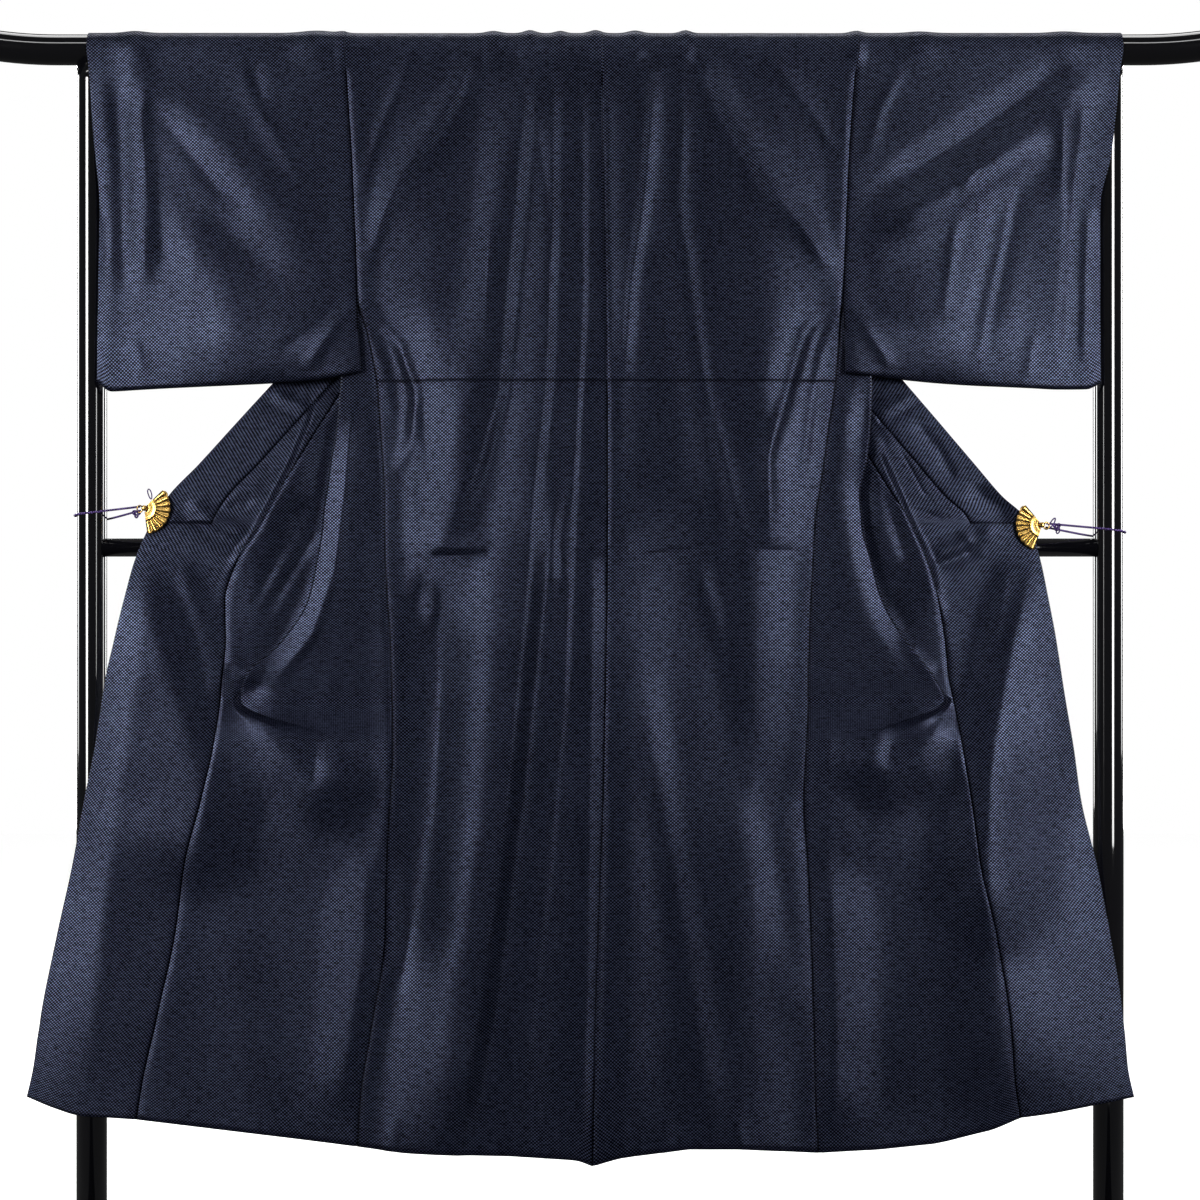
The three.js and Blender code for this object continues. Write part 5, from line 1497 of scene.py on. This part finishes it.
def plain_material(name, color, roughness, metallic=0.0, coat=0.0, specular=0.5, scale=30.0):
    """A smooth material whose gloss wanders between the two roughness values."""
    material, shader = new_material(name)
    tree = material.node_tree
    ends = {"Scale": scale, "Low": roughness[0], "High": roughness[1]}
    gloss = add_node(tree, "ShaderNodeGroup", ends, node_tree=uneven)
    feed(tree, shader, {
        "Base Color": (*color, 1), "Metallic": metallic, "Coat Weight": coat,
        "Specular IOR Level": specular, "Roughness": gloss.outputs["Value"],
    })
    return material


def twisted_cord():
    """Purple cord with the slanting ridges of its twisted strands."""
    material = plain_material("purple_cord", (0.05, 0.022, 0.13), (0.5, 0.75), scale=200.0)
    tree = material.node_tree
    place = add_node(tree, "ShaderNodeTexCoord").outputs["Object"]
    wave = {"Scale": STRAND_SCALE, "Vector": place}
    strands = add_node(tree, "ShaderNodeTexWave", wave, bands_direction="DIAGONAL")
    bump = add_node(tree, "ShaderNodeBump", {**STRAND_RELIEF, "Height": strands.outputs["Fac"]})
    feed(tree, tree.nodes["Principled BSDF"], {"Normal": bump.outputs["Normal"]})
    return material


def yarn_level(tree, place):
    """Brightness of the yarn: a close net of tiny dots, slubs, clouds and specks."""
    parts = add_node(tree, "ShaderNodeSeparateXYZ", {0: place}).outputs
    waves = []
    for axis, pitch in (("X", WEAVE["across"]), ("Y", WEAVE["along"])):
        turned = add_math(tree, "MULTIPLY", parts[axis], 2 * math.pi / pitch)
        waves.append(add_math(tree, "COSINE", turned))
    net = add_math(tree, "MULTIPLY", *waves)
    ends = {"From Min": 0.0, "From Max": WEAVE["dot_top"], "Value": net}
    dots = add_node(tree, "ShaderNodeMapRange", ends).outputs["Result"]
    drawn = {"Scale": SLUB["stretch"], "Vector": place}
    stretched = add_node(tree, "ShaderNodeMapping", drawn).outputs["Vector"]

    def noise(scale, at=place, share=1.0, detail=2.0):
        wanted = {"Scale": scale, "Detail": detail, "Vector": at}
        value = add_node(tree, "ShaderNodeTexNoise", wanted).outputs["Fac"]
        return add_math(tree, "MULTIPLY", value, share)

    slub = noise(1.0, stretched, SLUB["share"], SLUB["detail"])
    cloud = noise(CLOUD["scale"], share=CLOUD["share"], detail=CLOUD["detail"])
    level = add_math(tree, "MULTIPLY", dots, noise(SPECK["scale"], share=SPECK["share"]))
    return add_math(tree, "ADD", add_math(tree, "ADD", level, slub), cloud)


def woven_silk():
    """Navy silk, lighter and glossier on dots and slubs, with painted shadow along its seams."""
    material, shader = new_material("navy_silk")
    tree = material.node_tree
    level = yarn_level(tree, add_node(tree, "ShaderNodeUVMap", uv_map="cloth").outputs["UV"])
    tone = add_node(tree, "ShaderNodeValToRGB", {"Fac": level})
    dark, light = tone.color_ramp.elements
    dark.position, dark.color = SILK["start"], (*SILK["dark"], 1)
    light.position, light.color = 1.0, (*SILK["light"], 1)
    # The seam attribute is a painted shadow: it mixes the colour towards the seam colour and takes
    # the shine away along stitched edges and the tuck.
    seam = add_node(tree, "ShaderNodeAttribute", attribute_name="seam").outputs["Fac"]
    clear = add_math(tree, "SUBTRACT", 1.0, seam)
    mixed = {"A": (*SILK["seam"], 1), "Factor": clear, "B": tone.outputs["Color"]}
    painted_shadow = add_node(tree, "ShaderNodeMix", mixed, data_type="RGBA")
    ends = {"From Min": SILK["start"], "To Min": GLOSS["dark"], "To Max": GLOSS["light"]}
    gloss = add_node(tree, "ShaderNodeMapRange", {**ends, "Value": level}).outputs["Result"]
    ends = {"To Min": ROUGHNESS["dark"], "To Max": ROUGHNESS["light"], "Value": level}
    rough = add_node(tree, "ShaderNodeMapRange", ends)
    bump = add_node(tree, "ShaderNodeBump", {**YARN_RELIEF, "Height": level})
    feed(tree, shader, {
        "Base Color": painted_shadow.outputs["Result"],
        "Specular IOR Level": add_math(tree, "MULTIPLY", gloss, clear),
        "Specular Tint": (*SILK["sheen"], 1),
        "Roughness": rough.outputs["Result"],
        "Normal": bump.outputs["Normal"],
    })
    return material


cloth = woven_silk()
uneven = uneven_group()
lacquer = plain_material("black_lacquer", (0.002, 0.002, 0.003), (0.05, 0.09), coat=0.6, scale=12.0)
gold = plain_material("gold", (0.52, 0.32, 0.09), (0.2, 0.34), metallic=1.0, scale=90.0)
purple = twisted_cord()


# ---- camera, floor and light ---------------------------------------------------------
CAMERA = {"place": (0, -3.545, 0.916), "tilt": 90, "lens": 80.8, "sensor": 36}
STUDIO = {"lighting": 0.06, "backdrop": 1.0}
FLOOR = {"size": 14, "color": (0.9, 0.9, 0.9), "glow": 0.9}

# Area lights: name, place, what it points at, size, power and spread in degrees.
LIGHTS = [
    ("left softbox", (-2.2, -3.1, 1.3), (-0.78, 0, 0.82), (0.8, 2.2), 9.2, 36),
    ("right softbox", (2.2, -3.1, 1.3), (0.7, 0, 0.85), (0.8, 2.2), 9, 36),
    ("top softbox", (0, -1.9, 3.4), (0, 0, 0.8), (5.0, 0.3), 30, 180),
    ("left rear softbox", (-2.3, 3.1, 1.4), (-0.5, 0, 0.9), (1.2, 2.2), 12, 44),
    ("right rear softbox", (2.3, 3.1, 1.4), (0.5, 0, 0.9), (1.2, 2.2), 12, 44),
    ("upper softbox", (0, 1.0, 4.2), (0, 0, 0.9), (3.0, 1.6), 60, 180),
    ("left side softbox", (-3.6, 0.9, 1.6), (-0.6, 0, 0.9), (0.9, 2.2), 6, 40),
    ("right side softbox", (3.6, 0.9, 1.6), (0.6, 0, 0.9), (0.9, 2.2), 6, 40),
]


def add_camera():
    data = bpy.data.cameras.new("camera")
    data.sensor_width = CAMERA["sensor"]
    data.lens = CAMERA["lens"]
    camera = bpy.data.objects.new("camera", data)
    camera.location = CAMERA["place"]
    camera.rotation_euler = (math.radians(CAMERA["tilt"]), 0, 0)
    bpy.context.scene.collection.objects.link(camera)
    bpy.context.scene.camera = camera


def add_area(name, place, target, size, power, spread):
    data = bpy.data.lights.new(name, "AREA")
    data.shape = "RECTANGLE"
    data.size, data.size_y = size
    data.energy = power
    data.spread = math.radians(spread)
    light = bpy.data.objects.new(name, data)
    light.location = place
    light.rotation_euler = (Vector(target) - Vector(place)).to_track_quat("-Z", "Y").to_euler()
    bpy.context.scene.collection.objects.link(light)


def add_stage():
    bpy.ops.mesh.primitive_plane_add(size=FLOOR["size"], location=(0, 0, 0))
    floor = bpy.context.object
    floor.name = "floor"
    pale = plain_material("pale_floor", FLOOR["color"], (0.75, 0.85), specular=0.1)
    shader = pale.node_tree.nodes["Principled BSDF"]
    glow = {"Emission Color": (1, 1, 1, 1), "Emission Strength": FLOOR["glow"]}
    feed(pale.node_tree, shader, glow)
    floor.data.materials.append(pale)
    floor.visible_diffuse = False
    floor.visible_glossy = False
    bpy.context.scene.view_settings.view_transform = "Standard"
    world = bpy.data.worlds.new("studio")
    bpy.context.scene.world = world
    world.use_nodes = True
    tree = world.node_tree
    seen = add_node(tree, "ShaderNodeLightPath").outputs["Is Camera Ray"]
    ends = {"To Min": STUDIO["lighting"], "To Max": STUDIO["backdrop"], "Value": seen}
    strength = add_node(tree, "ShaderNodeMapRange", ends).outputs["Result"]
    feed(tree, tree.nodes["Background"], {"Color": (1, 1, 1, 1), "Strength": strength})


add_camera()
add_stage()
for light in LIGHTS:
    add_area(*light)

for name, side in SIDES.items():
    for piece, make in (("body", build_body), ("okumi", build_okumi), ("sleeve", build_sleeve)):
        obj = make(side, cloth)
        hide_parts(f"{piece}_{name}")
    build_upright(side, lacquer)
    build_clip(name, gold, purple)
collar = build_collar(cloth)
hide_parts("collar")
build_top_bar(lacquer)
build_rail(lacquer)

for node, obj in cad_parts.items():
    if node.startswith(("cord", "foot")):
        obj.data.materials[0] = purple if node.startswith("cord") else lacquer
